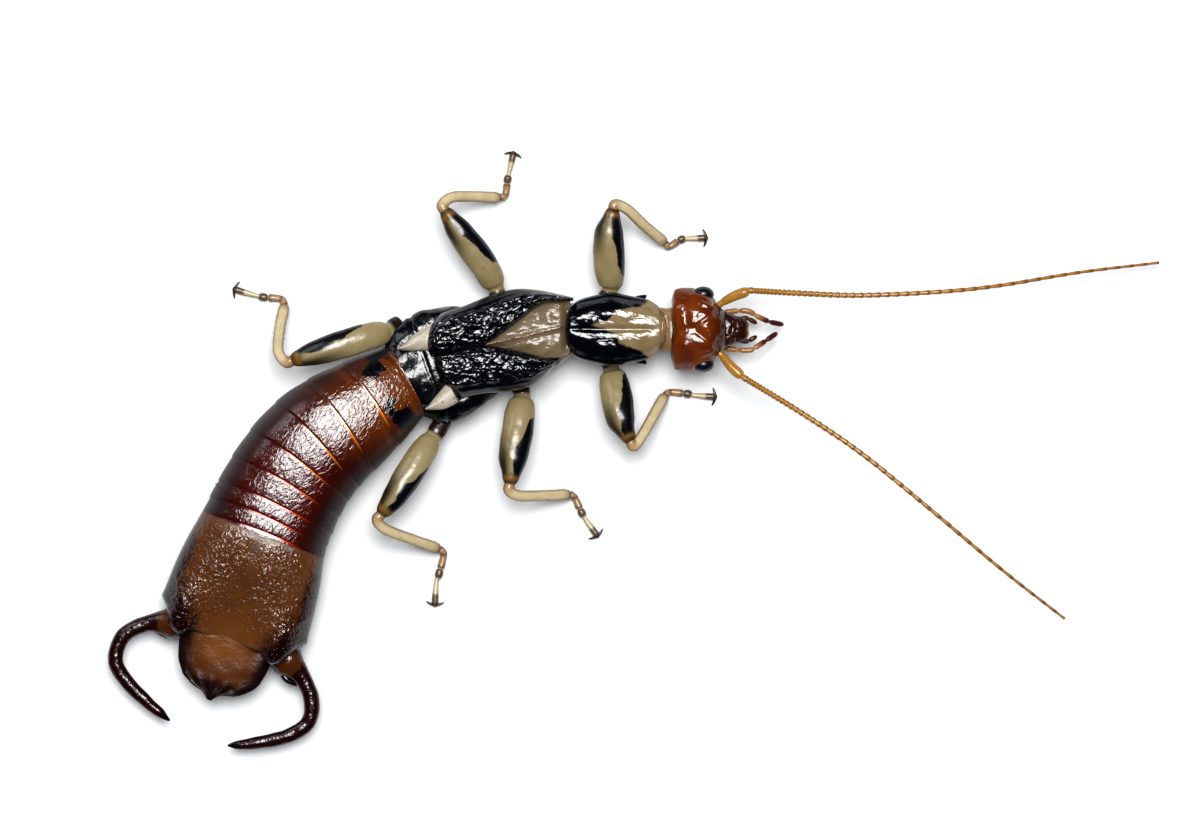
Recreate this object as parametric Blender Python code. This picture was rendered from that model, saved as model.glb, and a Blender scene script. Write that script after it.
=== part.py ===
"""A life-size earwig, still, in a walking pose: long feelers forward, tail curved to its right.

All sizes are in millimetres until they become mesh points. X runs from the tail to the head,
Y to the animal's left, Z up. The floor is at zero, and the origin is on the floor in the middle
of the ground that the animal covers.
"""
import bpy
import bmesh
from math import cos, exp, pi, radians, sin, sqrt
from mathutils import Vector

MM = 0.001
UP = Vector((0, 0, 1))

# Gaps between pieces that touch
GAP = 0.3
EYE_GAP = 0.15

# Head and mouth
AXIS_Y = 7.25
HEAD_REAR = 2.15
HEAD_FRONT = 5.3
HEAD_MIDDLE = 2.75
NECK_REAR = 1.2
EYE_PLACE = (4.12, 2.12, 3.0)
EYE_RADII = (0.64, 0.48, 0.58)
LABRUM_LENGTH = 1.3
LABRUM_HALF = 0.98
LIP_LINE = 0.5
MANDIBLE_LENGTH = 1.15

# Front shield and the body under the wing cases
PRONOTUM_FRONT = 1.85
PRONOTUM_REAR = -4.05
SHIELD_FLOOR = 3.35
BODY_FLOOR = 1.1
BODY_MIDDLE = 2.1
BODY_ROOF = 3.5
WING_CASE_FLOOR = 3.8
WING_CASE_EDGE = 0.5
WING_CASE_CROWN = 0.55

# Midline of the body behind the front shield, seen from above, and its waist
BODY_MIDLINE = [(-4.1, 7.3), (-6.0, 6.9), (-8.6, 6.15), (-11.2, 5.25), (-13.65, 4.25),
                (-16.5, 2.3), (-19.3, 0.2), (-21.2, -2.6), (-22.2, -4.85), (-23.15, -7.5),
                (-24.1, -10.35)]
WAIST = 10.05

# Abdomen: joints of its back plates, by distance behind the waist
TERGITE_JOINTS = [0.0, 2.4, 4.6, 6.45, 8.1, 9.6, 11.0, 11.95, 12.85]
LAST_TERGITE_END = 18.3
TERGITE_STEP = 0.1
TERGITE_LIP = 0.1

# Feelers
FEELER_WIDTH = 0.5
FEELER_TIP_WIDTH = 0.3
BEAD_SHORT = 0.42
BEAD_LONG = 0.95

# Feet
FOOT_CENTRE = 0.25
FOOT_DEPTH_SHARE = 1.08
CLAW_REACH = 0.52


def remove_everything():
    for thing in list(bpy.data.objects):
        bpy.data.objects.remove(thing, do_unlink=True)


def finish(name, colour, roughness):
    """A Principled material in the colour of one part of the animal."""
    material = bpy.data.materials.new(name)
    material.use_nodes = True
    shader = material.node_tree.nodes["Principled BSDF"]
    shader.inputs["Base Color"].default_value = (*colour, 1.0)
    shader.inputs["Roughness"].default_value = roughness
    shader.inputs["Metallic"].default_value = 0.0
    material.diffuse_color = (*colour, 1.0)
    return material


def make_finishes():
    return {
        "head": finish("head_shell", (0.19, 0.045, 0.012), 0.25),
        "dark_mouth": finish("dark_mouth", (0.03, 0.008, 0.005), 0.3),
        "eye": finish("eye", (0.006, 0.009, 0.016), 0.2),
        "feeler": finish("feeler", (0.5, 0.19, 0.03), 0.4),
        "black_shell": finish("black_shell", (0.008, 0.01, 0.016), 0.25),
        "tan_shell": finish("tan_shell", (0.3, 0.22, 0.12), 0.4),
        "cream": finish("cream", (0.72, 0.64, 0.5), 0.5),
        "membrane": finish("membrane", (0.4, 0.28, 0.15), 0.5),
        "abdomen": finish("abdomen_shell", (0.13, 0.025, 0.01), 0.28),
        "last_tergite": finish("last_tergite", (0.14, 0.05, 0.015), 0.45),
        "forceps": finish("forceps", (0.035, 0.006, 0.006), 0.2),
        "thigh": finish("thigh", (0.4, 0.32, 0.15), 0.35),
        "shin": finish("shin", (0.62, 0.48, 0.25), 0.4),
    }


def along(keys, place):
    """Value at a place on a smooth rise and fall through (place, value) keys."""
    if place <= keys[0][0]:
        return keys[0][1]
    if place >= keys[-1][0]:
        return keys[-1][1]
    slopes = [(b[1] - a[1]) / (b[0] - a[0]) for a, b in zip(keys, keys[1:])]
    bends = [slopes[0]]
    for before, after in zip(slopes, slopes[1:]):
        level = before * after <= 0
        bends.append(0.0 if level else 2 * before * after / (before + after))
    bends.append(slopes[-1])
    k = max(i for i in range(len(slopes)) if keys[i][0] <= place)
    span = keys[k + 1][0] - keys[k][0]
    t = (place - keys[k][0]) / span
    rise = t * t * (3 - 2 * t)
    value = keys[k][1] * (1 - rise) + keys[k + 1][1] * rise
    value += span * bends[k] * t * (1 - t) ** 2
    return value - span * bends[k + 1] * t * t * (1 - t)


class Path:
    """A smooth curve through a few points, read by the distance along it."""

    def __init__(self, points, height=0.0, steps=10):
        knots = [Vector(p) if len(p) == 3 else Vector((*p, height)) for p in points]
        ends = [2 * knots[0] - knots[1], *knots, 2 * knots[-1] - knots[-2]]
        self.points = [knots[0]]
        for a, b, c, d in zip(ends, ends[1:], ends[2:], ends[3:]):
            for step in range(1, steps + 1):
                self.points.append(self.between(a, b, c, d, step / steps))
        self.places = [0.0]
        for p, q in zip(self.points, self.points[1:]):
            self.places.append(self.places[-1] + (q - p).length)
        self.length = self.places[-1]

    @staticmethod
    def between(a, b, c, d, t):
        even = 2 * b + (c - a) * t + (2 * a - 5 * b + 4 * c - d) * t * t
        return 0.5 * (even + (3 * b - a - 3 * c + d) * t ** 3)

    def at(self, place):
        place = min(max(place, 0.0), self.length)
        k = next(i for i in range(1, len(self.places)) if place <= self.places[i] + 1e-9)
        share = (place - self.places[k - 1]) / (self.places[k] - self.places[k - 1])
        return self.points[k - 1].lerp(self.points[k], share)

    def heading(self, place, reach=0.08):
        return (self.at(place + reach) - self.at(place - reach)).normalized()


def ring(centre, heading, half_width, up, down, sides=12, power=2.0):
    """One cross-section: an oval, squarer as power grows, flatter below than above."""
    side = heading.cross(UP).normalized()
    top = side.cross(heading)
    points = []
    for k in range(sides):
        angle = 2 * pi * k / sides
        across = abs(cos(angle)) ** (2 / power) * (1 if cos(angle) > 0 else -1)
        rise = abs(sin(angle)) ** (2 / power) * (up if sin(angle) > 0 else -down)
        points.append(centre + side * half_width * across + top * rise)
    return points


def rounded_stations(start, end, steps, round_start, round_end):
    """Places along a limb, each with its share of the full section, round at the ends."""
    turns = [radians(angle) for angle in (28, 58)]
    places = [(start + round_start * (1 - cos(a)), sin(a)) for a in turns if round_start]
    first, last = start + round_start, end - round_end
    places += [(first + (last - first) * k / steps, 1.0) for k in range(steps + 1)]
    places += [(end - round_end * (1 - cos(a)), sin(a)) for a in reversed(turns) if round_end]
    return places


def limb_rings(path, widths, steps, thick=1.0, sides=8, start=0.0, end=None,
               round_start=0.2, round_end=0.2):
    """Rings of a limb along a path, closed by a point at each round end.

    widths are keys of full width by place; thick is the height as a share of the width.
    """
    end = path.length if end is None else end
    rings = [path.at(start)] if round_start else []
    for place, share in rounded_stations(start, end, steps, round_start, round_end):
        half = along(widths, place) / 2 * share
        rings.append(ring(path.at(place), path.heading(place), half,
                          half * thick, half * thick, sides))
    return rings + ([path.at(end)] if round_end else [])


def close_rings(bm, rings, floor):
    """Joins rings of equal count into one closed skin; a lone point closes an end."""
    rows = []
    for row in rings:
        corners = [row] if isinstance(row, Vector) else row
        if floor is not None:
            corners = [Vector((p.x, p.y, max(p.z, floor))) for p in corners]
        rows.append([bm.verts.new(p * MM) for p in corners])
    for a, b in zip(rows, rows[1:]):
        count = max(len(a), len(b))
        for k in range(count):
            j = (k + 1) % count
            if len(a) == 1:
                bm.faces.new((a[0], b[k], b[j]))
            elif len(b) == 1:
                bm.faces.new((a[k], a[j], b[0]))
            else:
                bm.faces.new((a[k], a[j], b[j], b[k]))
    for row in (rows[0], rows[-1]):
        if len(row) > 1:
            bm.faces.new(row)


def solid(name, rings, material, floor=None):
    """One named object from a stack of rings."""
    bm = bmesh.new()
    close_rings(bm, rings, floor)
    bmesh.ops.recalc_face_normals(bm, faces=bm.faces)
    mesh = bpy.data.meshes.new(name)
    bm.to_mesh(mesh)
    bm.free()
    mesh.materials.append(material)
    mesh.shade_smooth()
    mesh.set_sharp_from_angle(angle=radians(40))
    thing = bpy.data.objects.new(name, mesh)
    bpy.context.collection.objects.link(thing)
    return thing


def keep_largest_surface(mesh):
    """Drops every loose scrap of a joined mesh but the biggest closed surface."""
    bm = bmesh.new()
    bm.from_mesh(mesh)
    seen, groups = set(), []
    for face in bm.faces:
        if face in seen:
            continue
        group, front = [], [face]
        seen.add(face)
        while front:
            at = front.pop()
            group.append(at)
            near = {f for edge in at.edges for f in edge.link_faces} - seen
            seen |= near
            front += list(near)
        groups.append(group)
    groups.sort(key=len)
    for group in groups[:-1]:
        bmesh.ops.delete(bm, geom=group, context="FACES")
    bm.to_mesh(mesh)
    bm.free()


def boolean(base, pieces, operation):
    """Unites pieces with a base, or cuts them from it, as one applied step."""
    group = bpy.data.collections.new(base.name + "_pieces")
    bpy.context.scene.collection.children.link(group)
    for piece in pieces:
        for holder in list(piece.users_collection):
            holder.objects.unlink(piece)
        group.objects.link(piece)
    step = base.modifiers.new(operation.lower(), "BOOLEAN")
    step.operation = operation
    step.operand_type = "COLLECTION"
    step.collection = group
    step.solver = "EXACT"
    material = base.data.materials[0]
    depsgraph = bpy.context.evaluated_depsgraph_get()
    mesh = bpy.data.meshes.new_from_object(base.evaluated_get(depsgraph))
    base.modifiers.clear()
    keep_largest_surface(mesh)
    base.data = mesh
    mesh.materials.clear()
    mesh.materials.append(material)
    for piece in pieces:
        bpy.data.objects.remove(piece, do_unlink=True)
    bpy.data.collections.remove(group)
    return base


def side_signs():
    """Left is toward +Y, right toward -Y."""
    return {"left": 1, "right": -1}


def ellipsoid_rings(centre, radii, grow=0.0, sides=14, steps=7):
    rx, ry, rz = (r + grow for r in radii)
    rings = [centre - Vector((rx, 0, 0))]
    for k in range(1, steps):
        angle = pi * k / steps
        middle = centre - Vector((rx * cos(angle), 0, 0))
        rings.append(ring(middle, Vector((1, 0, 0)), ry * sin(angle),
                          rz * sin(angle), rz * sin(angle), sides))
    return rings + [centre + Vector((rx, 0, 0))]


def head_crown_relief(point):
    """Lowers the crown along the fork of seams that divides it into two swellings."""
    off = abs(point.y - AXIS_Y)
    fork = 0.12 + max(point.x - 3.7, 0.0) * 0.75
    seam = exp(-((off - fork) / 0.22) ** 2)
    on_top = min(max((point.z - HEAD_MIDDLE - 0.6) / 0.5, 0.0), 1.0)
    return point - UP * 0.16 * seam * on_top


def make_head(finishes):
    half = [(HEAD_REAR, 1.85), (2.32, 2.2), (2.9, 2.42), (4.0, 2.34), (4.5, 2.15), (4.9, 1.7),
            (HEAD_FRONT, 1.3)]
    up = [(HEAD_REAR, 0.85), (2.6, 1.35), (3.5, 1.65), (4.4, 1.45), (HEAD_FRONT, 0.85)]
    down = [(HEAD_REAR, 0.8), (2.7, 1.25), (4.0, 1.5), (HEAD_FRONT, 1.5)]
    places = [HEAD_REAR, 2.27, 2.5, 2.85, 3.3, 3.7, 4.05, 4.35, 4.6, 4.8, 5.0, 5.2, HEAD_FRONT]
    rings = []
    for x in places:
        row = ring(Vector((x, AXIS_Y, HEAD_MIDDLE)), Vector((-1, 0, 0)), along(half, x),
                   along(up, x), along(down, x), sides=28, power=2.3)
        rings.append([head_crown_relief(p) for p in row])
    head = solid("head", rings, finishes["head"])
    sockets = [solid("socket", ellipsoid_rings(eye_centre(sign), EYE_RADII, EYE_GAP),
                     finishes["head"]) for sign in side_signs().values()]
    return boolean(head, sockets, "DIFFERENCE")


def eye_centre(sign):
    x, off, z = EYE_PLACE
    return Vector((x, AXIS_Y + sign * off, z))


def make_eyes(finishes):
    for side, sign in side_signs().items():
        solid(f"eye_{side}", ellipsoid_rings(eye_centre(sign), EYE_RADII), finishes["eye"])


def make_labrum(finishes):
    """The face plate and the upper lip, as one low vault over the jaws."""
    start = HEAD_FRONT + GAP
    half = [(0.0, LABRUM_HALF), (0.7, 0.95), (1.05, 0.8), (LABRUM_LENGTH, 0.42)]
    rings = []
    for step in (0.0, 0.35, LIP_LINE, 0.8, 1.05, 1.2, LABRUM_LENGTH):
        centre = Vector((start + step, AXIS_Y, HEAD_MIDDLE - 0.12 * step))
        dip = 0.08 if step == LIP_LINE else 0.0
        rings.append(ring(centre, Vector((-1, 0, 0)), along(half, step),
                          0.62 - 0.22 * step - dip, 0.1, sides=16, power=2.5))
    solid("labrum", rings, finishes["dark_mouth"])


def make_mandibles(finishes):
    """Two stout jaws that meet under the lip, with the line of the mouth between them."""
    for side, sign in side_signs().items():
        root = Vector((HEAD_FRONT + GAP, AXIS_Y + sign * 0.48, 2.02))
        tip = root + Vector((MANDIBLE_LENGTH, -sign * 0.24, 0.0))
        bend = root.lerp(tip, 0.6) + Vector((0, sign * 0.12, 0))
        path = Path([root, bend, tip])
        widths = [(0.0, 0.62), (0.6, 0.62), (path.length, 0.4)]
        rings = limb_rings(path, widths, 4, thick=0.75, sides=10, round_start=0.0)
        solid(f"mandible_{side}", rings, finishes["dark_mouth"])


def bulged(joints, full, narrow):
    """Width keys of a feeler of several lengths, narrow at each joint."""
    keys = [(joints[0], narrow)]
    for a, b in zip(joints, joints[1:]):
        keys += [(a + (b - a) * 0.3, full), (b - 0.12, full), (b, narrow)]
    return keys


def make_palps(finishes):
    routes = {
        "left": [(5.6, 8.42, 2.0), (6.7, 8.38, 2.15), (7.45, 8.02, 2.0), (8.1, 7.74, 1.7),
                 (9.0, 7.55, 1.2)],
        "right": [(5.6, 6.06, 2.0), (6.8, 6.0, 2.15), (7.3, 6.2, 2.05), (7.95, 6.62, 1.7),
                  (8.62, 7.08, 1.25)],
    }
    for side, route in routes.items():
        path = Path(route)
        joints = [0.0, path.length * 0.32, path.length * 0.66, path.length]
        solid(f"maxillary_palp_{side}", limb_rings(path, bulged(joints, 0.5, 0.36), 12,
              round_start=0.0, round_end=0.25), finishes["feeler"])
    for side, sign in side_signs().items():
        path = Path([(5.6, AXIS_Y + sign * 0.4, 1.42), (6.5, AXIS_Y + sign * 0.68, 1.3),
                     (6.95, AXIS_Y + sign * 0.62, 1.25), (7.4, AXIS_Y + sign * 0.36, 1.2)])
        joints = [0.0, path.length * 0.55, path.length]
        solid(f"labial_palp_{side}", limb_rings(path, bulged(joints, 0.46, 0.34), 7, sides=7,
              round_start=0.0), finishes["dark_mouth"])


def bead_places(length):
    """Joints of a feeler, close together near its root and wider toward the tip."""
    places = [0.0]
    while places[-1] < length:
        share = min(places[-1] / length * 1.6, 1.0)
        places.append(places[-1] + BEAD_SHORT + (BEAD_LONG - BEAD_SHORT) * share)
    return places


def feeler_rings(path, joints, start, end):
    """Beads from joint to joint, each a little wider at its far end, between two places."""
    rings = []
    for a, b in zip(joints, joints[1:]):
        for place, share in ((a + 0.06, 0.8), (b - 0.06, 1.0)):
            if start + 0.05 < place < end - 0.05:
                full = FEELER_WIDTH + (FEELER_TIP_WIDTH - FEELER_WIDTH) * place / path.length
                half = full / 2 * share
                rings.append(ring(path.at(place), path.heading(place), half, half, half, 6))
    return rings


def make_feelers(finishes):
    """Each feeler: a stout first joint, then three lengths of fine beads."""
    scapes = {
        "left": [(5.42, 9.02, 3.05), (5.95, 9.25, 3.15), (6.62, 9.5, 3.3)],
        "right": [(5.42, 5.5, 3.05), (5.8, 5.0, 3.15), (6.32, 4.52, 3.25)],
    }
    whips = {
        "left": [(6.93, 9.58, 3.35), (9.93, 9.4, 3.6), (13.53, 9.28, 3.6), (18.3, 9.5, 3.2),
                 (22.0, 9.9, 2.6), (26.8, 10.7, 1.7), (31.6, 11.3, 0.9)],
        "right": [(6.6, 4.32, 3.3), (9.93, 2.28, 3.6), (13.53, -0.15, 3.7), (17.73, -3.55, 3.5),
                  (21.95, -7.1, 3.1), (25.8, -10.1, 2.7)],
    }
    for side in side_signs():
        path = Path(scapes[side])
        widths = [(0.0, 0.42), (0.35, 0.58), (path.length, 0.62)]
        solid(f"antenna_{side}_scape", limb_rings(path, widths, 4, sides=10), finishes["feeler"])
        path = Path(whips[side])
        joints = bead_places(path.length)
        cuts = [0.0, path.length * 0.33, path.length * 0.66, path.length]
        for number, (start, end) in enumerate(zip(cuts, cuts[1:]), 1):
            edge = start + (GAP if number > 1 else 0.0)
            rings = feeler_rings(path, joints, edge, end)
            if number == 3:
                rings.append(path.at(end))
            solid(f"antenna_{side}_{number}", rings, finishes["feeler"])


def make_neck(finishes):
    path = Path([(HEAD_REAR - GAP, AXIS_Y, 2.45), (NECK_REAR, AXIS_Y, 2.4)])
    rings = [ring(path.at(s), path.heading(s), 0.95, 0.5, 0.7, 16, 2.4)
             for s in (0.0, path.length)]
    solid("neck", rings, finishes["membrane"])


def plate_rings(rows, crown, columns=9):
    """Sections of a plate with a flat underside, from rows of (left, right, floor, edge)."""
    rings = []
    for left, right, floor, edge in rows:
        left, right = Vector((*left, 0.0)), Vector((*right, 0.0))
        row = [left + UP * floor, right + UP * floor]
        for k in range(columns):
            v = 1 - k / (columns - 1)
            place = left.lerp(right, v)
            row.append(place + UP * (floor + edge + crown(place.x, v)))
        rings.append(row)
    return rings


def pronotum_crown(x, v):
    """Two long swellings beside a middle groove, low at the rims."""
    length = PRONOTUM_FRONT - PRONOTUM_REAR
    u = (PRONOTUM_FRONT - x) / length
    off = abs(2 * v - 1)
    lengthwise = sqrt(max(1 - abs(2 * u - 1) ** 4, 0.0))
    dome = (1 - off ** 2.4) * lengthwise
    lobe = exp(-((off - 0.42) / 0.24) ** 2) * exp(-((u - 0.45) / 0.3) ** 2)
    groove = exp(-(off / 0.12) ** 2) * lengthwise
    return 0.62 * dome + 0.22 * lobe - 0.14 * groove


def make_pronotum(finishes):
    half = [(-4.05, 1.0), (-3.85, 1.38), (-3.3, 1.78), (-2.3, 2.06), (-1.45, 2.22),
            (-0.3, 2.02), (0.9, 1.78), (1.5, 1.45), (1.85, 1.05)]
    places = [1.85, 1.75, 1.5, 1.1, 0.6, 0.0, -0.7, -1.4, -2.1, -2.8, -3.3, -3.7, -3.92, -4.05]
    rows = [((x, AXIS_Y + along(half, x)), (x, AXIS_Y - along(half, x)), SHIELD_FLOOR, 0.42)
            for x in places]
    solid("pronotum", plate_rings(rows, pronotum_crown, 13), finishes["black_shell"])


def make_prothorax(finishes):
    """The front body under the shield, with a small thorn at each front corner."""
    path = Path([(NECK_REAR - GAP, AXIS_Y), (-1.5, AXIS_Y), (-3.8, AXIS_Y + 0.1)], BODY_MIDDLE)
    half = [(0.0, 1.05), (0.5, 1.4), (3.0, 1.55), (path.length, 1.45)]
    rings = [ring(path.at(s), path.heading(s), along(half, s),
                  SHIELD_FLOOR - GAP - BODY_MIDDLE, BODY_MIDDLE - BODY_FLOOR, 20, 2.8)
             for s in (0.0, 0.3, 0.8, 1.7, 3.0, 4.2, path.length)]
    body = solid("prothorax", rings, finishes["membrane"])
    thorns = []
    for sign in side_signs().values():
        route = Path([(-0.4, AXIS_Y + sign * 1.1, 2.6), (0.35, AXIS_Y + sign * 1.7, 2.72),
                      (1.02, AXIS_Y + sign * 2.06, 2.78)])
        widths = [(0.0, 0.6), (route.length * 0.6, 0.45), (route.length, 0.16)]
        thorns.append(solid("thorn", limb_rings(route, widths, 3, thick=0.9, sides=6,
                                                round_end=0.1), finishes["membrane"]))
    return boolean(body, thorns, "UNION")


def make_thorax(finishes):
    """The middle and rear body under the wing cases."""
    path = Path(BODY_MIDLINE, BODY_MIDDLE)
    rear = WAIST - GAP / 2
    half = [(0.0, 1.6), (1.0, 2.15), (3.0, 2.45), (4.6, 2.6), (6.5, 3.15), (8.0, 3.45),
            (9.0, 3.05), (rear, 2.45)]
    roof = [(0.0, 1.3), (1.0, BODY_ROOF - BODY_MIDDLE), (rear, BODY_ROOF - BODY_MIDDLE)]
    split = 4.75
    steps = 6
    spans = {"mesothorax": (0.0, split - GAP / 2), "metathorax": (split + GAP / 2, rear)}
    for name, (start, end) in spans.items():
        rings = []
        for k in range(steps + 1):
            place = start + (end - start) * k / steps
            rings.append(ring(path.at(place), path.heading(place), along(half, place),
                              along(roof, place), BODY_MIDDLE - BODY_FLOOR, 20, 2.8))
        solid(name, rings, finishes["black_shell"])


def ruled_rows(left, right, floor, edge, steps):
    """Rows across a plate between two smooth long sides."""
    left, right = Path(left), Path(right)
    rows = []
    for k in range(steps + 1):
        a, b = left.at(left.length * k / steps), right.at(right.length * k / steps)
        rows.append(((a.x, a.y), (b.x, b.y), floor, edge))
    return rows


WING_CASE_SIDES = {
    "left": ([(-4.35, 9.32), (-5.7, 9.6), (-7.2, 9.66), (-8.7, 9.25), (-10.3, 8.62), (-11.6, 8.2)],
             [(-4.35, 9.05), (-5.7, 8.97), (-7.4, 7.66), (-9.1, 6.42), (-10.6, 6.1),
              (-12.25, 5.85)]),
    "right": ([(-4.3, 5.3), (-5.2, 5.32), (-7.0, 5.72), (-9.1, 6.08), (-10.6, 5.78),
               (-12.1, 5.5)],
              [(-4.3, 5.02), (-4.95, 4.45), (-6.1, 3.82), (-7.4, 3.55), (-8.9, 3.42),
               (-10.4, 3.12)]),
}


def wing_case_crown(x, v):
    """A low vault crossed by raised veins and wrinkles that run aslant."""
    vault = 1 - abs(2 * v - 1) ** 2.2
    veins = cos(2 * pi * (v * 2.5 + x * 0.45)) * (1 - abs(2 * v - 1) ** 4)
    return WING_CASE_CROWN * vault + 0.07 * veins


def make_wing_cases(finishes):
    for side, (left, right) in WING_CASE_SIDES.items():
        rows = ruled_rows(left, right, WING_CASE_FLOOR, WING_CASE_EDGE, 18)
        solid(f"tegmen_{side}", plate_rings(rows, wing_case_crown, 11), finishes["black_shell"])


def make_scutellum(finishes):
    """The pale arrowhead between the wing cases, with its middle line raised."""
    left = [(-4.4, 8.75), (-5.55, 8.7), (-7.3, 7.4), (-8.6, 6.47)]
    right = [(-4.4, 5.65), (-5.3, 5.66), (-7.0, 6.04), (-8.6, 6.33)]

    def crown(x, v):
        return 0.22 * (1 - abs(2 * v - 1) ** 2) + 0.08 * exp(-((v - 0.45) / 0.08) ** 2)

    rows = ruled_rows(left, right, WING_CASE_FLOOR, WING_CASE_EDGE, 9)
    solid("scutellum", plate_rings(rows, crown, 9), finishes["tan_shell"])


def make_wing_tips(finishes):
    """The folded ends of the hind wings, which show behind the wing cases."""
    sides = {
        "left": ([(-12.2, 7.45), (-13.0, 7.1), (-13.65, 6.5), (-14.12, 6.2)],
                 [(-12.62, 5.98), (-13.2, 5.96), (-13.75, 5.95), (-14.15, 6.0)]),
        "right": ([(-11.5, 3.9), (-11.95, 3.2), (-12.3, 2.75), (-12.52, 2.58)],
                  [(-10.72, 2.75), (-11.4, 2.48), (-12.0, 2.46), (-12.42, 2.44)]),
    }

    def crown(x, v):
        return 0.14 * (1 - abs(2 * v - 1) ** 2)

    for side, (left, right) in sides.items():
        rows = ruled_rows(left, right, WING_CASE_FLOOR, WING_CASE_EDGE, 5)
        solid(f"wing_tip_{side}", plate_rings(rows, crown, 7), finishes["cream"])


def abdomen_half_width(place):
    return along([(0.0, 2.3), (1.5, 2.75), (3.0, 3.1), (4.4, 3.35), (6.5, 3.58), (9.3, 3.7),
                  (12.8, 3.88), (14.8, 4.15), (LAST_TERGITE_END, 4.6)], place)


def abdomen_top(place):
    return along([(0.0, 1.75), (2.5, 2.3), (6.0, 2.65), (12.8, 2.6), (15.5, 2.35),
                  (LAST_TERGITE_END, 1.7)], place)


def abdomen_middle(place):
    """Height of the widest line, which sinks as the belly settles on the floor."""
    return along([(0.0, 2.35), (6.0, 2.3), (12.8, 2.15), (LAST_TERGITE_END, 2.0)], place)


def abdomen_bottom(place):
    return along([(0.0, 1.2), (4.0, 1.65), (9.0, 2.15), (14.0, 2.25),
                  (LAST_TERGITE_END, 1.45)], place)


def abdomen_ring(path, place, swell=0.0):
    centre = path.at(WAIST + place) + UP * abdomen_middle(place)
    return ring(centre, path.heading(WAIST + place), abdomen_half_width(place) + swell,
                abdomen_top(place) + swell, abdomen_bottom(place), 28, 2.25)


def make_abdomen(finishes):
    """Eight back plates in four lengths, each plate raised at its rear edge."""
    path = Path(BODY_MIDLINE)
    for number in range(4):
        rings = []
        joints = TERGITE_JOINTS[number * 2:number * 2 + 3]
        for a, b in zip(joints, joints[1:]):
            front = a + (GAP / 2 if a == joints[0] else 0.0)
            rear = b - (GAP / 2 if b == joints[-1] else TERGITE_LIP)
            for share, swell in ((0.0, -0.5), (0.35, -0.2), (1.0, 0.5)):
                rings.append(abdomen_ring(path, front + (rear - front) * share,
                                          swell * TERGITE_STEP))
        solid(f"abdomen_{number + 1}", rings, finishes["abdomen"], floor=0.0)


def make_last_tergite(finishes):
    """The broad square last plate, swollen at its rear corners above the forceps."""
    path = Path(BODY_MIDLINE)
    start = TERGITE_JOINTS[-1] + GAP / 2
    rings = []
    for share in (0.0, 0.12, 0.3, 0.5, 0.68, 0.82, 0.92, 1.0):
        place = start + (LAST_TERGITE_END - start) * share
        row = abdomen_ring(path, place, 0.12 * sin(pi * min(share * 1.1, 1.0)))
        side = path.heading(WAIST + place).cross(UP).normalized()
        for k, point in enumerate(row):
            off = abs((point - path.at(WAIST + place)).dot(side)) / abdomen_half_width(place)
            corner = exp(-((off - 0.74) / 0.2) ** 2) * exp(-((share - 0.86) / 0.16) ** 2)
            hollow = exp(-(off / 0.3) ** 2) * share ** 2
            if point.z > abdomen_middle(place) + 0.3:
                row[k] = point + UP * (0.3 * corner - 0.2 * hollow)
        rings.append(row)
    solid("last_tergite", rings, finishes["last_tergite"], floor=0.0)


def make_pygidium(finishes):
    """The rounded plate between the forceps, with a short spike at its end."""
    path = Path([(-24.3, -11.1), (-24.75, -12.6), (-25.55, -15.0)], 2.05)
    half = [(0.0, 2.75), (1.0, 2.85), (2.2, 2.5), (3.1, 1.75), (3.6, 1.0), (path.length, 0.16)]
    places = (0.0, 0.6, 1.2, 1.8, 2.4, 2.9, 3.3, 3.6, path.length)
    rings = [ring(path.at(s), path.heading(s), along(half, s), 0.55 - 0.08 * s, 0.35 - 0.05 * s,
                  20, 2.2) for s in places]
    solid("pygidium", rings, finishes["last_tergite"])


def make_forceps(finishes):
    """Two stout hooks, broad at the base, that curve in toward each other."""
    routes = {
        "left": [(-27.75, -10.35, 1.6), (-29.4, -10.45, 1.6), (-30.75, -11.2, 1.55),
                 (-31.2, -12.7, 1.5), (-30.5, -13.95, 1.45), (-29.2, -15.25, 1.4),
                 (-27.95, -16.28, 1.35)],
        "right": [(-20.9, -12.6, 1.6), (-19.95, -13.7, 1.6), (-19.42, -15.1, 1.55),
                  (-19.65, -16.4, 1.5), (-20.9, -17.2, 1.45), (-22.8, -17.62, 1.4),
                  (-24.5, -17.78, 1.35)],
    }
    for side, route in routes.items():
        path = Path(route)
        widths = [(0.0, 1.75), (0.9, 1.15), (2.2, 0.98), (path.length * 0.7, 0.86),
                  (path.length - 0.8, 0.66), (path.length, 0.2)]
        rings = limb_rings(path, widths, 17, thick=0.95, sides=10, round_start=0.15,
                           round_end=0.12)
        solid(f"forceps_{side}", rings, finishes["forceps"])


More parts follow.
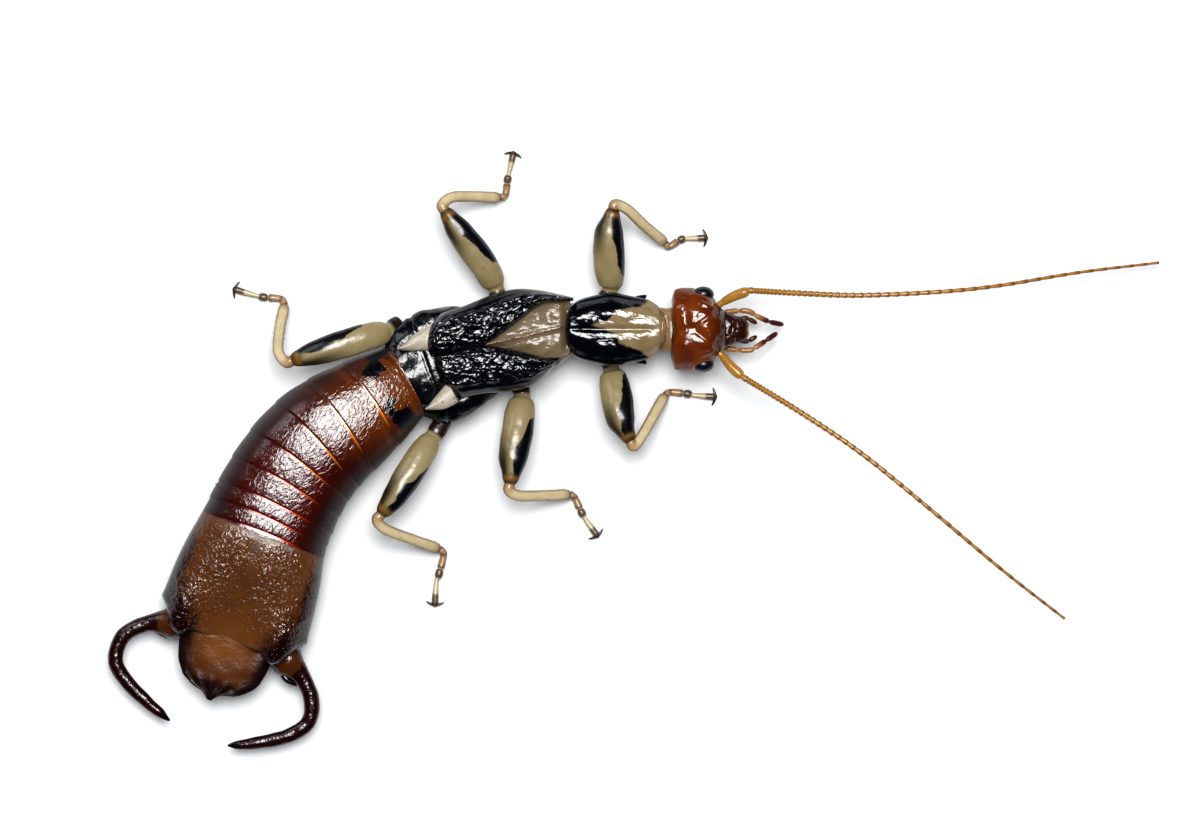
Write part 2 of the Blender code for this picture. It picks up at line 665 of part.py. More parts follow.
# Each leg: thigh from hip to knee, shin from knee to ankle, foot from ankle to toe
LEGS = {
    "front_left": {
        "thigh": [(-1.7, 9.1, 1.95), (-1.45, 9.85, 2.0), (-1.52, 11.3, 2.55), (-1.55, 12.8, 3.0),
                  (-1.3, 14.4, 3.1)],
        "shin": [(-1.12, 14.72, 3.05), (-0.4, 14.42, 2.75), (0.6, 13.5, 1.85), (1.85, 12.5, 0.55)],
        "foot": [(2.08, 12.28), (2.75, 12.68), (3.15, 12.76), (4.3, 12.82)],
        "hip_width": 0.95, "widest": 1.85},
    "front_right": {
        "thigh": [(-1.55, 5.4, 1.95), (-1.35, 4.7, 2.0), (-1.1, 3.4, 2.55), (-0.85, 1.95, 3.0),
                  (-0.3, 0.6, 3.1)],
        "shin": [(-0.02, 0.28, 3.0), (0.5, 0.95, 2.65), (1.15, 2.1, 1.75), (1.85, 3.32, 0.55)],
        "foot": [(2.16, 3.5), (3.2, 3.4), (3.7, 3.3), (4.85, 3.22)],
        "hip_width": 0.95, "widest": 1.85},
    "middle_left": {
        "thigh": [(-8.2, 9.15, 1.9), (-8.4, 9.95, 1.95), (-9.2, 11.35, 2.5), (-10.3, 12.85, 3.0),
                  (-11.35, 14.3, 3.15)],
        "shin": [(-11.5, 14.72, 3.1), (-10.9, 15.18, 2.75), (-9.6, 15.25, 1.75),
                 (-8.1, 15.22, 0.6)],
        "foot": [(-7.78, 15.4), (-7.66, 16.25), (-7.55, 16.8), (-7.3, 17.9)],
        "hip_width": 1.05, "widest": 1.7},
    "middle_right": {
        "thigh": [(-6.85, 3.8, 1.9), (-6.75, 3.2, 1.95), (-6.95, 1.6, 2.5), (-7.25, -0.3, 3.0),
                  (-7.45, -1.95, 3.15)],
        "shin": [(-7.5, -2.4, 3.1), (-6.9, -2.72, 2.75), (-5.4, -2.72, 1.75), (-3.9, -2.66, 0.6)],
        "foot": [(-3.6, -2.85), (-3.2, -3.72), (-2.92, -4.2), (-2.25, -5.15)],
        "hip_width": 1.05, "widest": 1.85},
    "hind_left": {
        "thigh": [(-14.35, 7.42, 2.3), (-14.8, 7.15, 2.7), (-16.2, 6.74, 3.3), (-18.4, 6.06, 3.55),
                  (-20.45, 5.4, 3.4)],
        "shin": [(-20.88, 5.3, 3.3), (-21.35, 5.95, 2.9), (-21.32, 7.3, 1.75),
                 (-21.08, 8.75, 0.6)],
        "foot": [(-21.3, 9.12), (-22.25, 9.22), (-22.9, 9.35), (-24.1, 9.7)],
        "hip_width": 1.05, "widest": 1.45},
    "hind_right": {
        "thigh": [(-11.8, 1.25, 1.95), (-12.05, 0.85, 2.1), (-12.95, -0.5, 2.75), (-14.0, -2.2, 3.1),
                  (-15.15, -3.8, 3.15)],
        "shin": [(-15.4, -4.2, 3.1), (-14.9, -4.75, 2.75), (-13.3, -5.38, 1.75),
                 (-11.75, -5.95, 0.6)],
        "foot": [(-11.5, -6.28), (-11.78, -7.45), (-11.95, -8.0), (-12.03, -9.3)],
        "hip_width": 1.05, "widest": 1.65},
}


def make_thigh(name, spec, finishes):
    """Hip joint, the small ring after it and the deep flattened thigh, in one piece."""
    path = Path(spec["thigh"])
    end = path.length
    widths = [(0.0, spec["hip_width"]), (0.4, spec["hip_width"]), (0.75, 0.85),
              (1.25, spec["widest"] * 0.84), (end * 0.45, spec["widest"]),
              (end * 0.72, spec["widest"] * 0.9), (end - 0.35, 1.0), (end, 0.85)]
    rings = limb_rings(path, widths, 11, thick=0.72, sides=10, round_start=0.12, round_end=0.3)
    solid(f"leg_{name}_thigh", rings, finishes["thigh"])


def make_shin(name, spec, finishes):
    path = Path(spec["shin"])
    widths = [(0.0, 0.58), (0.6, 0.56), (path.length * 0.5, 0.58), (path.length, 0.62)]
    solid(f"leg_{name}_shin", limb_rings(path, widths, 8, thick=0.95, sides=8),
          finishes["shin"])


def claw_pair(foot, finishes):
    """One curved bar across the toe, pointed at both ends, for the two claws."""
    toe, heading = foot.at(foot.length), foot.heading(foot.length)
    side = heading.cross(UP).normalized()
    route = []
    for share in (-1.0, -0.55, 0.0, 0.55, 1.0):
        back = 0.16 * share * share
        route.append(toe + side * CLAW_REACH * share - heading * back)
    path = Path(route)
    widths = [(0.0, 0.14), (path.length * 0.3, 0.3), (path.length * 0.5, 0.36),
              (path.length * 0.7, 0.3), (path.length, 0.14)]
    return solid("claws", limb_rings(path, widths, 6, thick=1.4, sides=6, round_start=0.08,
                                     round_end=0.08), finishes["shin"], floor=0.0)


def make_foot(name, spec, finishes):
    """Three joints, the middle one short, flat beneath where they stand on the floor."""
    path = Path(spec["foot"], FOOT_CENTRE)
    end = path.length
    widths = [(0.0, 0.46), (0.25, 0.54), (end * 0.36, 0.54), (end * 0.42, 0.4),
              (end * 0.5, 0.54), (end * 0.56, 0.4), (end * 0.75, 0.46), (end, 0.54)]
    rings = limb_rings(path, widths, 11, thick=FOOT_DEPTH_SHARE, sides=6, round_start=0.15,
                       round_end=0.12)
    foot = solid(f"leg_{name}_foot", rings, finishes["shin"], floor=0.0)
    return boolean(foot, [claw_pair(path, finishes)], "UNION")


def make_legs(finishes):
    for name, spec in LEGS.items():
        make_thigh(name, spec, finishes)
        make_shin(name, spec, finishes)
        make_foot(name, spec, finishes)


def main():
    remove_everything()
    finishes = make_finishes()
    make_head(finishes)
    make_eyes(finishes)
    make_labrum(finishes)
    make_mandibles(finishes)
    make_palps(finishes)
    make_feelers(finishes)
    make_neck(finishes)
    make_pronotum(finishes)
    make_prothorax(finishes)
    make_thorax(finishes)
    make_wing_cases(finishes)
    make_scutellum(finishes)
    make_wing_tips(finishes)
    make_abdomen(finishes)
    make_last_tergite(finishes)
    make_pygidium(finishes)
    make_forceps(finishes)
    make_legs(finishes)


main()
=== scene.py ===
# %% [markdown]
# # A life-size earwig
#
# The plain solids of the animal already stand in their places when this file starts: the frame.
# Everything here dresses them. Each finer piece takes the place of one solid or of a few, so the
# frame tells where a piece goes, and the photograph tells what it looks like. All sizes are
# millimetres until they become mesh points, because a creature of six centimetres is easier to
# think about that way.

import bpy
import numpy as np
from math import pi, radians, tau
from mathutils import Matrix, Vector, noise


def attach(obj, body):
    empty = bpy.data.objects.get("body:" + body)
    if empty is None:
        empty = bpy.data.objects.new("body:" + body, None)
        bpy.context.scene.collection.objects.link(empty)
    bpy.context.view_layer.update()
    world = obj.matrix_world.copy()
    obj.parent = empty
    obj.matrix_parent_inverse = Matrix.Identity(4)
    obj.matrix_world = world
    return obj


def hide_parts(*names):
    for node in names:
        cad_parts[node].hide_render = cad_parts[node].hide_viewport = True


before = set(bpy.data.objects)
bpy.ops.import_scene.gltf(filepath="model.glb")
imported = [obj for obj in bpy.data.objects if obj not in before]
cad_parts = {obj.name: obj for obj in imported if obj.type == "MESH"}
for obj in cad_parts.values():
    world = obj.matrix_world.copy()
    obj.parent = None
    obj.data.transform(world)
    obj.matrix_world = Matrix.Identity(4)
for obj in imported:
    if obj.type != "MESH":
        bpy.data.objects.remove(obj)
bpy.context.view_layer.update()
MM = 0.001

# %% [markdown]
# ## Places, curves and tracks
#
# Three small tools carry every shape. `spots` turns places read off the picture into millimetres
# on the animal. `eased` draws a smooth rise and fall through a few values, as a bent batten would.
# A `Track` is a smooth line through a few points, such as the middle of a leg, that can be read by
# the distance along it. A spline object could do the same, but arrays of numbers let a whole limb
# be measured, bent and painted in one expression.

# %% Places in the picture, and smooth values
PIXEL = 0.06  # size of one pixel of the picture on the animal
ORIGIN = (634.5, 450.25)  # the pixel above the origin of the frame


def spots(*pixels):
    """Pixels of the picture as millimetres on the animal."""
    return (np.array(pixels, float) - ORIGIN) * (PIXEL, -PIXEL)


def stretch_of(places, joints):
    """Number of the stretch between two joints that each place lies in."""
    return np.clip(np.searchsorted(joints, places, side="right") - 1, 0, len(joints) - 2)


def eased(keys):
    """A smooth function through (place, value) keys that never overshoots them."""
    xs, ys = np.array(keys, float).T
    slopes = np.diff(ys) / np.diff(xs)
    a, b = slopes[:-1], slopes[1:]
    level = a * b <= 0
    inner = np.where(level, 0.0, 2 * a * b / np.where(level, 1.0, a + b))
    bends = np.concatenate([slopes[:1], inner, slopes[-1:]])

    def read(place):
        place = np.clip(place, xs[0], xs[-1])
        k = stretch_of(place, xs)
        span = xs[k + 1] - xs[k]
        t = (place - xs[k]) / span
        rise = t * t * (3 - 2 * t)
        level = ys[k] * (1 - rise) + ys[k + 1] * rise
        return level + span * (bends[k] * t * (1 - t) ** 2 - bends[k + 1] * t * t * (1 - t))

    return read


def bell(value, middle, width):
    """A smooth hill of height 1."""
    return np.exp(-((value - middle) / width) ** 2)


def ramp(value, low, high):
    """Rises smoothly from 0 at low to 1 at high."""
    t = np.clip((value - low) / (high - low), 0, 1)
    return t * t * (3 - 2 * t)


# %% A smooth line read by the distance along it
def unit(vectors):
    return vectors / np.linalg.norm(vectors, axis=-1, keepdims=True)


class Track:
    def __init__(self, points, height=0.0, steps=24):
        knots = np.array([p if len(p) == 3 else (*p, height) for p in points], float)
        ends = [2 * knots[0] - knots[1], *knots, 2 * knots[-1] - knots[-2]]
        t = np.linspace(0, 1, steps + 1)[1:, None]
        runs = [knots[:1]]
        for a, b, c, d in zip(ends, ends[1:], ends[2:], ends[3:]):
            even = 2 * b + (c - a) * t + (2 * a - 5 * b + 4 * c - d) * t * t
            runs.append(0.5 * (even + (3 * b - a - 3 * c + d) * t ** 3))
        self.points = np.concatenate(runs)
        gaps = np.linalg.norm(np.diff(self.points, axis=0), axis=1)
        self.places = np.concatenate([[0.0], np.cumsum(gaps)])
        self.length = self.places[-1]

    def at(self, places):
        """Points on the line; places before or past its ends go straight on."""
        places = np.asarray(places, float)
        inner = np.clip(places, 0, self.length)
        flat = np.stack([np.interp(inner, self.places, axis) for axis in self.points.T], -1)
        start, end = unit(self.points[1] - self.points[0]), unit(self.points[-1] - self.points[-2])
        before, past = np.minimum(places, 0), np.maximum(places - self.length, 0)
        return flat + before[..., None] * start + past[..., None] * end

    def frame(self, places, reach=0.08):
        """The way across and the way up at each place."""
        heading = unit(self.at(np.add(places, reach)) - self.at(np.subtract(places, reach)))
        side = unit(np.cross(heading, (0, 0, 1)))
        return side, np.cross(side, heading)


# %% [markdown]
# ## Rows of points become a skin
#
# Most parts of an insect are tubes and vaults. Both can be written as rows of points: a row runs
# round the piece, and the rows follow each other along it. `sections` makes the rows of a limb,
# `raise_by` moves them along their own normals to model ridges and dents, and `skin` joins them
# into one closed mesh, with a point to close each end. It also keeps named numbers on the points,
# which the finishes read later: how far along, how far across, how deep inside a patch.

# %% Rows round a limb
def stations(start, end, count):
    """Places along a limb, closer together at both ends, where it turns round."""
    t = np.linspace(0, 1, count)
    return start + (end - start) * (0.6 * t + 0.4 * (0.5 - 0.5 * np.cos(pi * t)))


def rounding(places, start_round, end_round):
    """Share of the full section at each place, for ends that close in a quarter circle."""
    share = np.ones_like(places)
    for depth, length in ((places - places[0], start_round), (places[-1] - places, end_round)):
        if length:
            inner = np.clip(1 - depth / length, 0, 1)
            share = share * np.sqrt(np.maximum(1 - inner ** 2, 1e-4))
    return share


def oval(around, power=2.0):
    """How far across and how far up the points round a section lie, from -1 to 1."""
    angle = np.linspace(0, tau, around, endpoint=False)
    x, y = np.cos(angle), np.sin(angle)
    return (np.sign(x) * np.abs(x) ** (2 / power), np.sign(y) * np.abs(y) ** (2 / power))


def sections(track, places, half, up, down, around=32, power=2.0):
    """Rows of points round a track, with half width, height and depth at each place."""
    across, rise = oval(around, power)
    side, top = track.frame(places)
    height = np.where(rise > 0, np.outer(up, rise), np.outer(down, rise))
    rows = track.at(places)[:, None] + side[:, None] * np.outer(half, across)[..., None]
    return rows + top[:, None] * height[..., None]


# %% Relief, and the closed skin
def outward(rows):
    """The way straight out of the surface at each point."""
    along = np.gradient(rows, axis=0)
    around = np.roll(rows, -1, 1) - np.roll(rows, 1, 1)
    normal = np.cross(around, along)
    normal /= np.maximum(np.linalg.norm(normal, axis=-1, keepdims=True), 1e-9)
    facing = (normal * (rows - rows.mean(1, keepdims=True))).sum()
    return normal * np.sign(facing)


def raise_by(rows, amount):
    return rows + outward(rows) * np.asarray(amount)[..., None]


def lumps(rows, size, seed=0.0):
    """Soft random hills of one size in millimetres, between about -1 and 1, the same each run."""
    scaled = rows.reshape(-1, 3) / size + seed
    return np.array([noise.noise(Vector(p)) for p in scaled]).reshape(rows.shape[:2]) * 2


def add(name, data):
    """A new object in the scene."""
    thing = bpy.data.objects.new(name, data)
    bpy.context.scene.collection.objects.link(thing)
    return thing


def skin(name, rows, **marks):
    """One closed mesh over rows of points, with its marks kept on the points."""
    count, around = rows.shape[:2]
    points = np.concatenate([rows.reshape(-1, 3), [rows[0].mean(0)], [rows[-1].mean(0)]])
    index = np.arange(count * around).reshape(count, around)
    near, far = index[:-1], index[1:]
    quads = np.stack([near, np.roll(near, -1, 1), np.roll(far, -1, 1), far], -1).reshape(-1, 4)
    first, last = count * around, count * around + 1
    front = [(first, b, a) for a, b in zip(index[0], np.roll(index[0], -1))]
    back = [(last, a, b) for a, b in zip(index[-1], np.roll(index[-1], -1))]
    mesh = bpy.data.meshes.new(name)
    mesh.from_pydata((points * MM).tolist(), [], [*quads.tolist(), *front, *back])
    a, b, c, d = (points[quads[:, k]] for k in range(4))
    if (np.cross(c - a, d - b) * (a + c)).sum() < 0:
        mesh.flip_normals()
    mesh.shade_smooth()
    for label, values in marks.items():
        values = np.broadcast_to(values, (count, around))
        flat = np.concatenate([values.ravel(), [values[0].mean(), values[-1].mean()]])
        mesh.attributes.new(label, "FLOAT", "POINT").data.foreach_set("value", flat)
    return add(name, mesh)


def settle(thing, material, slot, *nodes):
    """Gives a finished piece its finish, its body and the solids that it stands for."""
    if material is not None:
        thing.data.materials.clear()
        thing.data.materials.append(material)
    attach(thing, "root")
    if nodes:
        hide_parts(*nodes)
    print(thing.name, "faces:", len(thing.data.polygons))
    return thing


# %% A plate: rows from one long side to the other, rolled at its rim
def plate(left, right, floor, height, rows=120, columns=48, roll=0.35, ends=(0.35, 0.35)):
    """Rows round a plate between two outlines; height(u, v, xy) is its top above the floor."""
    u = stations(0, 1, rows)
    left, right = Track(left), Track(right)
    a, b = left.at(left.length * u)[:, :2], right.at(right.length * u)[:, :2]
    angle = np.linspace(0, tau, columns * 2, endpoint=False) + pi / columns / 2
    v = (1 - np.cos(angle)) / 2
    xy = a[:, None] * (1 - v)[:, None] + b[:, None] * v[:, None]
    close = np.clip(u / ends[0], 0, 1) * np.clip((1 - u) / ends[1], 0, 1)
    close = np.sqrt(np.maximum(1 - (1 - close) ** 2, 1e-4))
    tall = height(u[:, None], v[None, :], xy) * np.abs(np.sin(angle)) ** roll * close[:, None]
    z = floor + np.where(np.sin(angle) > 0, tall, 0.0)
    return np.concatenate([xy, z[..., None]], -1), u[:, None], v[None, :]


def within(points, outline):
    """Millimetres into a flat outline seen from above: positive inside, negative outside."""
    p, a, b = points[..., None, :2], outline, np.roll(outline, -1, 0)
    edge = b - a
    t = np.clip(((p - a) * edge).sum(-1) / (edge ** 2).sum(-1), 0, 1)
    gap = np.linalg.norm(p - (a + t[..., None] * edge), axis=-1).min(-1)
    rise = np.where(edge[:, 1] == 0, 1e-9, edge[:, 1])
    level = (a[:, 1] > p[..., 1]) != (b[:, 1] > p[..., 1])
    crossed = level & (p[..., 0] < a[:, 0] + edge[:, 0] * (p[..., 1] - a[:, 1]) / rise)
    return np.where(crossed.sum(-1) % 2 == 1, gap, -gap)


# %% [markdown]
# ## One way to write node trees
#
# Finishes and Geometry Nodes are both graphs, and a graph is slow to read as a list of links. Here
# a `Wire` wraps one socket and knows the arithmetic operators, so `1 - mask * 0.5` adds the Math
# nodes by itself. Every other node comes from `Graph.node`, which takes the type, the settings and
# then the values or wires of the sockets. Colours go through a Mix node, because a Math node would
# turn them grey.

# %% Wires and graphs
class Wire:
    def __init__(self, graph, socket):
        self.graph, self.socket = graph, socket

    def out(self, key):
        """Another output of the same node."""
        return Wire(self.graph, self.socket.node.outputs[key])

    def __add__(self, other):
        return self.graph.math("ADD", self, other)

    def __sub__(self, other):
        return self.graph.math("SUBTRACT", self, other)

    def __mul__(self, other):
        return self.graph.math("MULTIPLY", self, other)

    def __pow__(self, other):
        return self.graph.math("POWER", self, other)

    def __radd__(self, other):
        return self.graph.math("ADD", other, self)

    def __rsub__(self, other):
        return self.graph.math("SUBTRACT", other, self)

    def __rmul__(self, other):
        return self.graph.math("MULTIPLY", other, self)

    def __rtruediv__(self, other):
        return self.graph.math("DIVIDE", other, self)


class Graph:
    def __init__(self, tree):
        self.tree = tree

    def node(self, kind, settings=None, values=None, out=0):
        """A new node: its settings first, then the values or wires of its sockets."""
        node = self.tree.nodes.new(kind)
        for key, value in (settings or {}).items():
            setattr(node, key, value)
        for key, value in (values or {}).items():
            if isinstance(value, Wire):
                self.tree.links.new(value.socket, node.inputs[key])
            else:
                node.inputs[key].default_value = value
        return Wire(self, node.outputs[out])

    def math(self, operation, *values):
        return self.node("ShaderNodeMath", {"operation": operation}, dict(enumerate(values)))

    def vector(self, operation, *values):
        return self.node("ShaderNodeVectorMath", {"operation": operation},
                         dict(enumerate(values)))

    def scaled(self, vector, factor):
        return self.node("ShaderNodeVectorMath", {"operation": "SCALE"},
                         {0: vector, "Scale": factor})


# %% [markdown]
# ## A tube that follows a spine
#
# The feelers and the long hind body follow a line, and each cross-section is an oval whose size
# changes by a rule. That is work for Geometry Nodes. The spine is a chain of points that carry
# their own half width, height above and depth below. The tree takes a cylinder of unit size and
# sets each of its points beside the place on the spine that its height asks for. A bevelled curve
# would be shorter, but its profile can't be flatter below than above.

# %% The tube tree
def tree_with(name, sockets):
    """A Geometry Nodes tree with named inputs and one geometry output."""
    tree = bpy.data.node_groups.new(name, "GeometryNodeTree")
    for label, kind in sockets:
        tree.interface.new_socket(label, in_out="INPUT", socket_type="NodeSocket" + kind)
    tree.interface.new_socket("Shape", in_out="OUTPUT", socket_type="NodeSocketGeometry")
    graph = Graph(tree)
    given = graph.node("NodeGroupInput")
    return tree, graph, given


def close_tree(graph, shape):
    end = graph.tree.nodes.new("NodeGroupOutput")
    graph.tree.links.new(shape.socket, end.inputs[0])


def tube_tree():
    tree, graph, given = tree_with("tube along a spine", [
        ("Spine", "Geometry"), ("Steps", "Int"), ("Sides", "Int"), ("Squareness", "Float"),
        ("Finish", "Material")])
    curve = graph.node("GeometryNodeMeshToCurve", None, {0: given.out("Spine")})
    tube = graph.node("GeometryNodeMeshCylinder", {"fill_type": "NGON"}, {
        "Vertices": given.out("Sides"), "Side Segments": given.out("Steps"),
        "Radius": 1.0, "Depth": 1.0})
    place = graph.node("ShaderNodeSeparateXYZ", None, {0: graph.node("GeometryNodeInputPosition")})
    share = place.out("Z") + 0.5

    def carried(label):
        value = graph.node("GeometryNodeInputNamedAttribute", {"data_type": "FLOAT"},
                           {"Name": label})
        return graph.node("GeometryNodeSampleCurve", {"mode": "FACTOR", "data_type": "FLOAT"},
                          {"Curves": curve, "Value": value, "Factor": share})

    half, up, down = carried("half"), carried("up"), carried("down")
    heading = half.out("Tangent")
    side = graph.vector("NORMALIZE", graph.vector("CROSS_PRODUCT", (0, 0, 1), heading))
    top = graph.vector("CROSS_PRODUCT", heading, side)
    power = 2 / given.out("Squareness")
    x, y = place.out("X"), place.out("Y")
    across = graph.math("SIGN", x) * graph.math("ABSOLUTE", x) ** power
    rise = graph.math("SIGN", y) * graph.math("ABSOLUTE", y) ** power
    above = graph.math("GREATER_THAN", y, 0.0)
    height = rise * (above * up + (1 - above) * down)
    beside = graph.vector("ADD", graph.scaled(side, half * across), graph.scaled(top, height))
    marked = tube
    for label, value in (("share", share), ("across", across), ("rise", rise)):
        marked = graph.node("GeometryNodeStoreNamedAttribute", {"data_type": "FLOAT"}, {
            "Geometry": marked, "Name": label, "Value": value})
    moved = graph.node("GeometryNodeSetPosition", None, {
        "Geometry": marked, "Position": graph.vector("ADD", half.out("Position"), beside)})
    smooth = graph.node("GeometryNodeSetShadeSmooth", None, {0: moved})
    real = graph.node("GeometryNodeRealizeInstances", None, {0: smooth})
    done = graph.node("GeometryNodeSetMaterial", None,
                      {"Geometry": real, "Material": given.out("Finish")})
    close_tree(graph, done)
    return tree


# %% Running a tree, and keeping what it made
def solve(thing, tree, **values):
    """Runs a tree on an object and keeps the result as a plain mesh."""
    step = thing.modifiers.new(tree.name, "NODES")
    step.node_group = tree
    for item in tree.interface.items_tree:
        if item.in_out == "INPUT" and item.name in values:
            step[item.identifier] = values[item.name]
    depsgraph = bpy.context.evaluated_depsgraph_get()
    mesh = bpy.data.meshes.new_from_object(thing.evaluated_get(depsgraph))
    thing.modifiers.clear()
    thing.data = mesh
    return thing


TUBE = tube_tree()


def grow(name, points, half, up, down, finish, sides=16, squareness=2.0):
    """A tube along a line of points, with its sizes in millimetres at each of them."""
    spine = bpy.data.meshes.new(name)
    chain = [(k, k + 1) for k in range(len(points) - 1)]
    spine.from_pydata((points * MM).tolist(), chain, [])
    for label, sizes in (("half", half), ("up", up), ("down", down)):
        spine.attributes.new(label, "FLOAT", "POINT").data.foreach_set("value", sizes * MM)
    return solve(add(name, spine), TUBE, Steps=len(points) - 1, Sides=sides, Squareness=squareness,
                 Finish=finish)


def points_of(thing):
    """Mesh points of an object in millimetres."""
    flat = np.empty(len(thing.data.vertices) * 3, np.float32)
    thing.data.vertices.foreach_get("co", flat)
    return flat.reshape(-1, 3).astype(float) / MM


def mark_of(thing, label):
    """A mark as one number for each mesh point."""
    flat = np.empty(len(thing.data.vertices), np.float32)
    thing.data.attributes[label].data.foreach_get("value", flat)
    return flat.astype(float)


def write_mark(thing, label, values):
    mesh = thing.data
    mark = mesh.attributes.get(label) or mesh.attributes.new(label, "FLOAT", "POINT")
    mark.data.foreach_set("value", values.astype(np.float32))


# %% [markdown]
# ## Camera and light
#
# The photograph looks straight down on a white table, so the camera does too, from far off with a
# long lens: that keeps the legs and the back at one scale. A broad soft light hangs above and a
# little to the top of the picture. It draws the bright band along the middle of the back and the
# thin soft shadows below each leg. A few weak lights would make the same brightness but would
# break that band into spots. The room itself fills the shadows but is kept out of the mirror
# images, because a pale room would lay a grey veil on every black part.

# %% Camera
VIEW_WIDTH = 72.0
VIEW_CENTRE = (-2.07, 2.0)
BACK_HEIGHT = 2.5
CAMERA_ABOVE_BACK = 400.0

camera = add("camera", bpy.data.cameras.new("camera"))
camera.data.sensor_width = 36.0
camera.data.lens = camera.data.sensor_width * CAMERA_ABOVE_BACK / VIEW_WIDTH
camera.data.clip_start = 0.01
camera.data.clip_end = 5.0
camera.location = Vector((*VIEW_CENTRE, BACK_HEIGHT + CAMERA_ABOVE_BACK)) * MM
bpy.context.scene.camera = camera
print("lens:", camera.data.lens)

# %% Light
def softbox(name, place, size, watts, colour=(1.0, 1.0, 1.0)):
    light = add(name, bpy.data.lights.new(name, "AREA"))
    light.data.shape = "DISK"
    light.data.size = size
    light.data.energy = watts
    light.data.color = colour
    light.location = place
    light.rotation_euler = (-Vector(place)).to_track_quat("-Z", "Y").to_euler()


softbox("light_above", (0.0, 0.1, 0.44), size=0.24, watts=2.75)
softbox("light_side", (-0.3, 0.3, 0.3), size=0.2, watts=0.3, colour=(0.9, 0.95, 1.0))

world = bpy.data.worlds.new("room")
bpy.context.scene.world = world
world.use_nodes = True
room = world.node_tree.nodes["Background"].inputs
room["Color"].default_value = (0.9, 0.94, 1.0, 1.0)
room["Strength"].default_value = 0.44
world.cycles_visibility.glossy = False
bpy.context.scene.view_settings.view_transform = "Standard"
bpy.context.scene.view_settings.look = "Medium High Contrast"


# %% [markdown]
# ## Finishes
#
# Every finish is a material made by rule. `Finish` starts one and offers the few patterns that an
# insect's shell needs: soft noise, cells like those of leather, and fades between two values.
# Patterns read places in millimetres, so their grain keeps its true size on every piece. Where a
# patch of colour has a shape of its own, the piece carries how deep each point lies inside it, and
# the finish only has to draw a line at zero: the edge stays crisp however coarse the mesh is. The
# light is strong, so that highlights and floor burn out to white as they do in the photograph, and
# one factor deepens all colours in return.

# %% The start of every finish
DEPTH = 0.62  # share of every colour that is kept


class Finish(Graph):
    def __init__(self, name):
        self.material = bpy.data.materials.new(name)
        self.material.use_nodes = True
        super().__init__(self.material.node_tree)
        self.shader = self.tree.nodes["Principled BSDF"]

    def place(self, turn=0.0, stretch=None):
        """Places on the object in millimetres, turned about the upright axis, then stretched."""
        where = self.node("ShaderNodeTexCoord").out("Object")
        where = self.node("ShaderNodeMapping", None, {
            "Vector": where, "Rotation": (0.0, 0.0, turn), "Scale": (1 / MM, 1 / MM, 1 / MM)})
        if stretch:
            where = self.node("ShaderNodeMapping", None, {"Vector": where, "Scale": stretch})
        return where

    def forward(self, where):
        """How far toward the head a place lies."""
        return self.node("ShaderNodeSeparateXYZ", None, {0: where})

    def mark(self, label):
        return self.node("ShaderNodeAttribute", {"attribute_name": label}).out("Fac")

    def noise(self, where, scale, detail=2.0, bend=0.0):
        return self.node("ShaderNodeTexNoise", None, {
            "Vector": where, "Scale": scale, "Detail": detail, "Distortion": bend})

    def cells(self, where, scale):
        """Distance from the middle of the nearest cell."""
        return self.node("ShaderNodeTexVoronoi", None, {"Vector": where, "Scale": scale})

    def fade(self, value, low, high):
        return self.node("ShaderNodeMapRange", {"interpolation_type": "SMOOTHSTEP"},
                         {"Value": value, "From Min": low, "From Max": high})

    def mix(self, share, first, second):
        first, second = ((*c, 1.0) if isinstance(c, tuple) else c for c in (first, second))
        return self.node("ShaderNodeMix", {"data_type": "RGBA"}, {0: share, 6: first, 7: second},
                         out=2)

    def wobble(self, where, scale, size):
        """Places pushed about by noise, so that rows of cells don't run like rulers."""
        push = self.node("ShaderNodeTexNoise", None, {"Vector": where, "Scale": scale}, out=1)
        push = self.vector("SUBTRACT", push, (0.5, 0.5, 0.5))
        return self.vector("ADD", where, self.scaled(push, size))

    def dress(self, colour, roughness, height=None, **constants):
        """Colour, roughness and relief in millimetres; the rest are plain values."""
        plain = isinstance(colour, tuple)
        colour = (*(c * DEPTH for c in colour), 1.0) if plain else self.scaled(colour, DEPTH)
        inputs = {"Base Color": colour, "Roughness": roughness}
        if height is not None:
            inputs["Normal"] = self.node("ShaderNodeBump", None, {
                "Height": height, "Strength": 1.0, "Distance": MM})
        for key, value in inputs.items():
            if isinstance(value, Wire):
                self.tree.links.new(value.socket, self.shader.inputs[key])
            else:
                self.shader.inputs[key].default_value = value
        for key, value in constants.items():
            self.shader.inputs[key.replace("_", " ")].default_value = value
        return self.material


BLACK = (0.0018, 0.003, 0.006)


# %% [markdown]
# ### Front shield, wing cases and the pale plate between them
#
# The front shield is black behind and tan in front, with soft wrinkles that break its shine. The
# wing cases are black leather: small round cushions, each with its own spark of light, and a
# smooth rim. The cushions could be modelled, but at a third of a millimetre each a relief in the
# finish does the same with no more faces. The plate between them is a dull tan skin.

# %% Finish of the front shield
def shield_finish():
    f = Finish("front shield, black and tan")
    where = f.place()
    frayed = f.mark("tan") + (f.noise(where, 1.8, 3.0) - 0.5) * 0.35
    tan = f.mix(f.noise(where, 1.1, 3.0), (0.2, 0.14, 0.068), (0.32, 0.24, 0.13))
    tan = f.mix(f.fade(f.forward(where), 1.3, 1.8), tan, (0.25, 0.14, 0.055))
    colour = f.mix(f.fade(frayed, -0.1, 0.08), BLACK, tan)
    creases = f.noise(f.place(radians(20), (0.8, 1.6, 1.0)), 1.3, 2.0, 0.8)
    height = creases * 0.075 * f.mark("lobe") + f.noise(where, 5.0, 2.0) * 0.004
    return f.dress(colour, 0.16, height, Specular_IOR_Level=0.55)


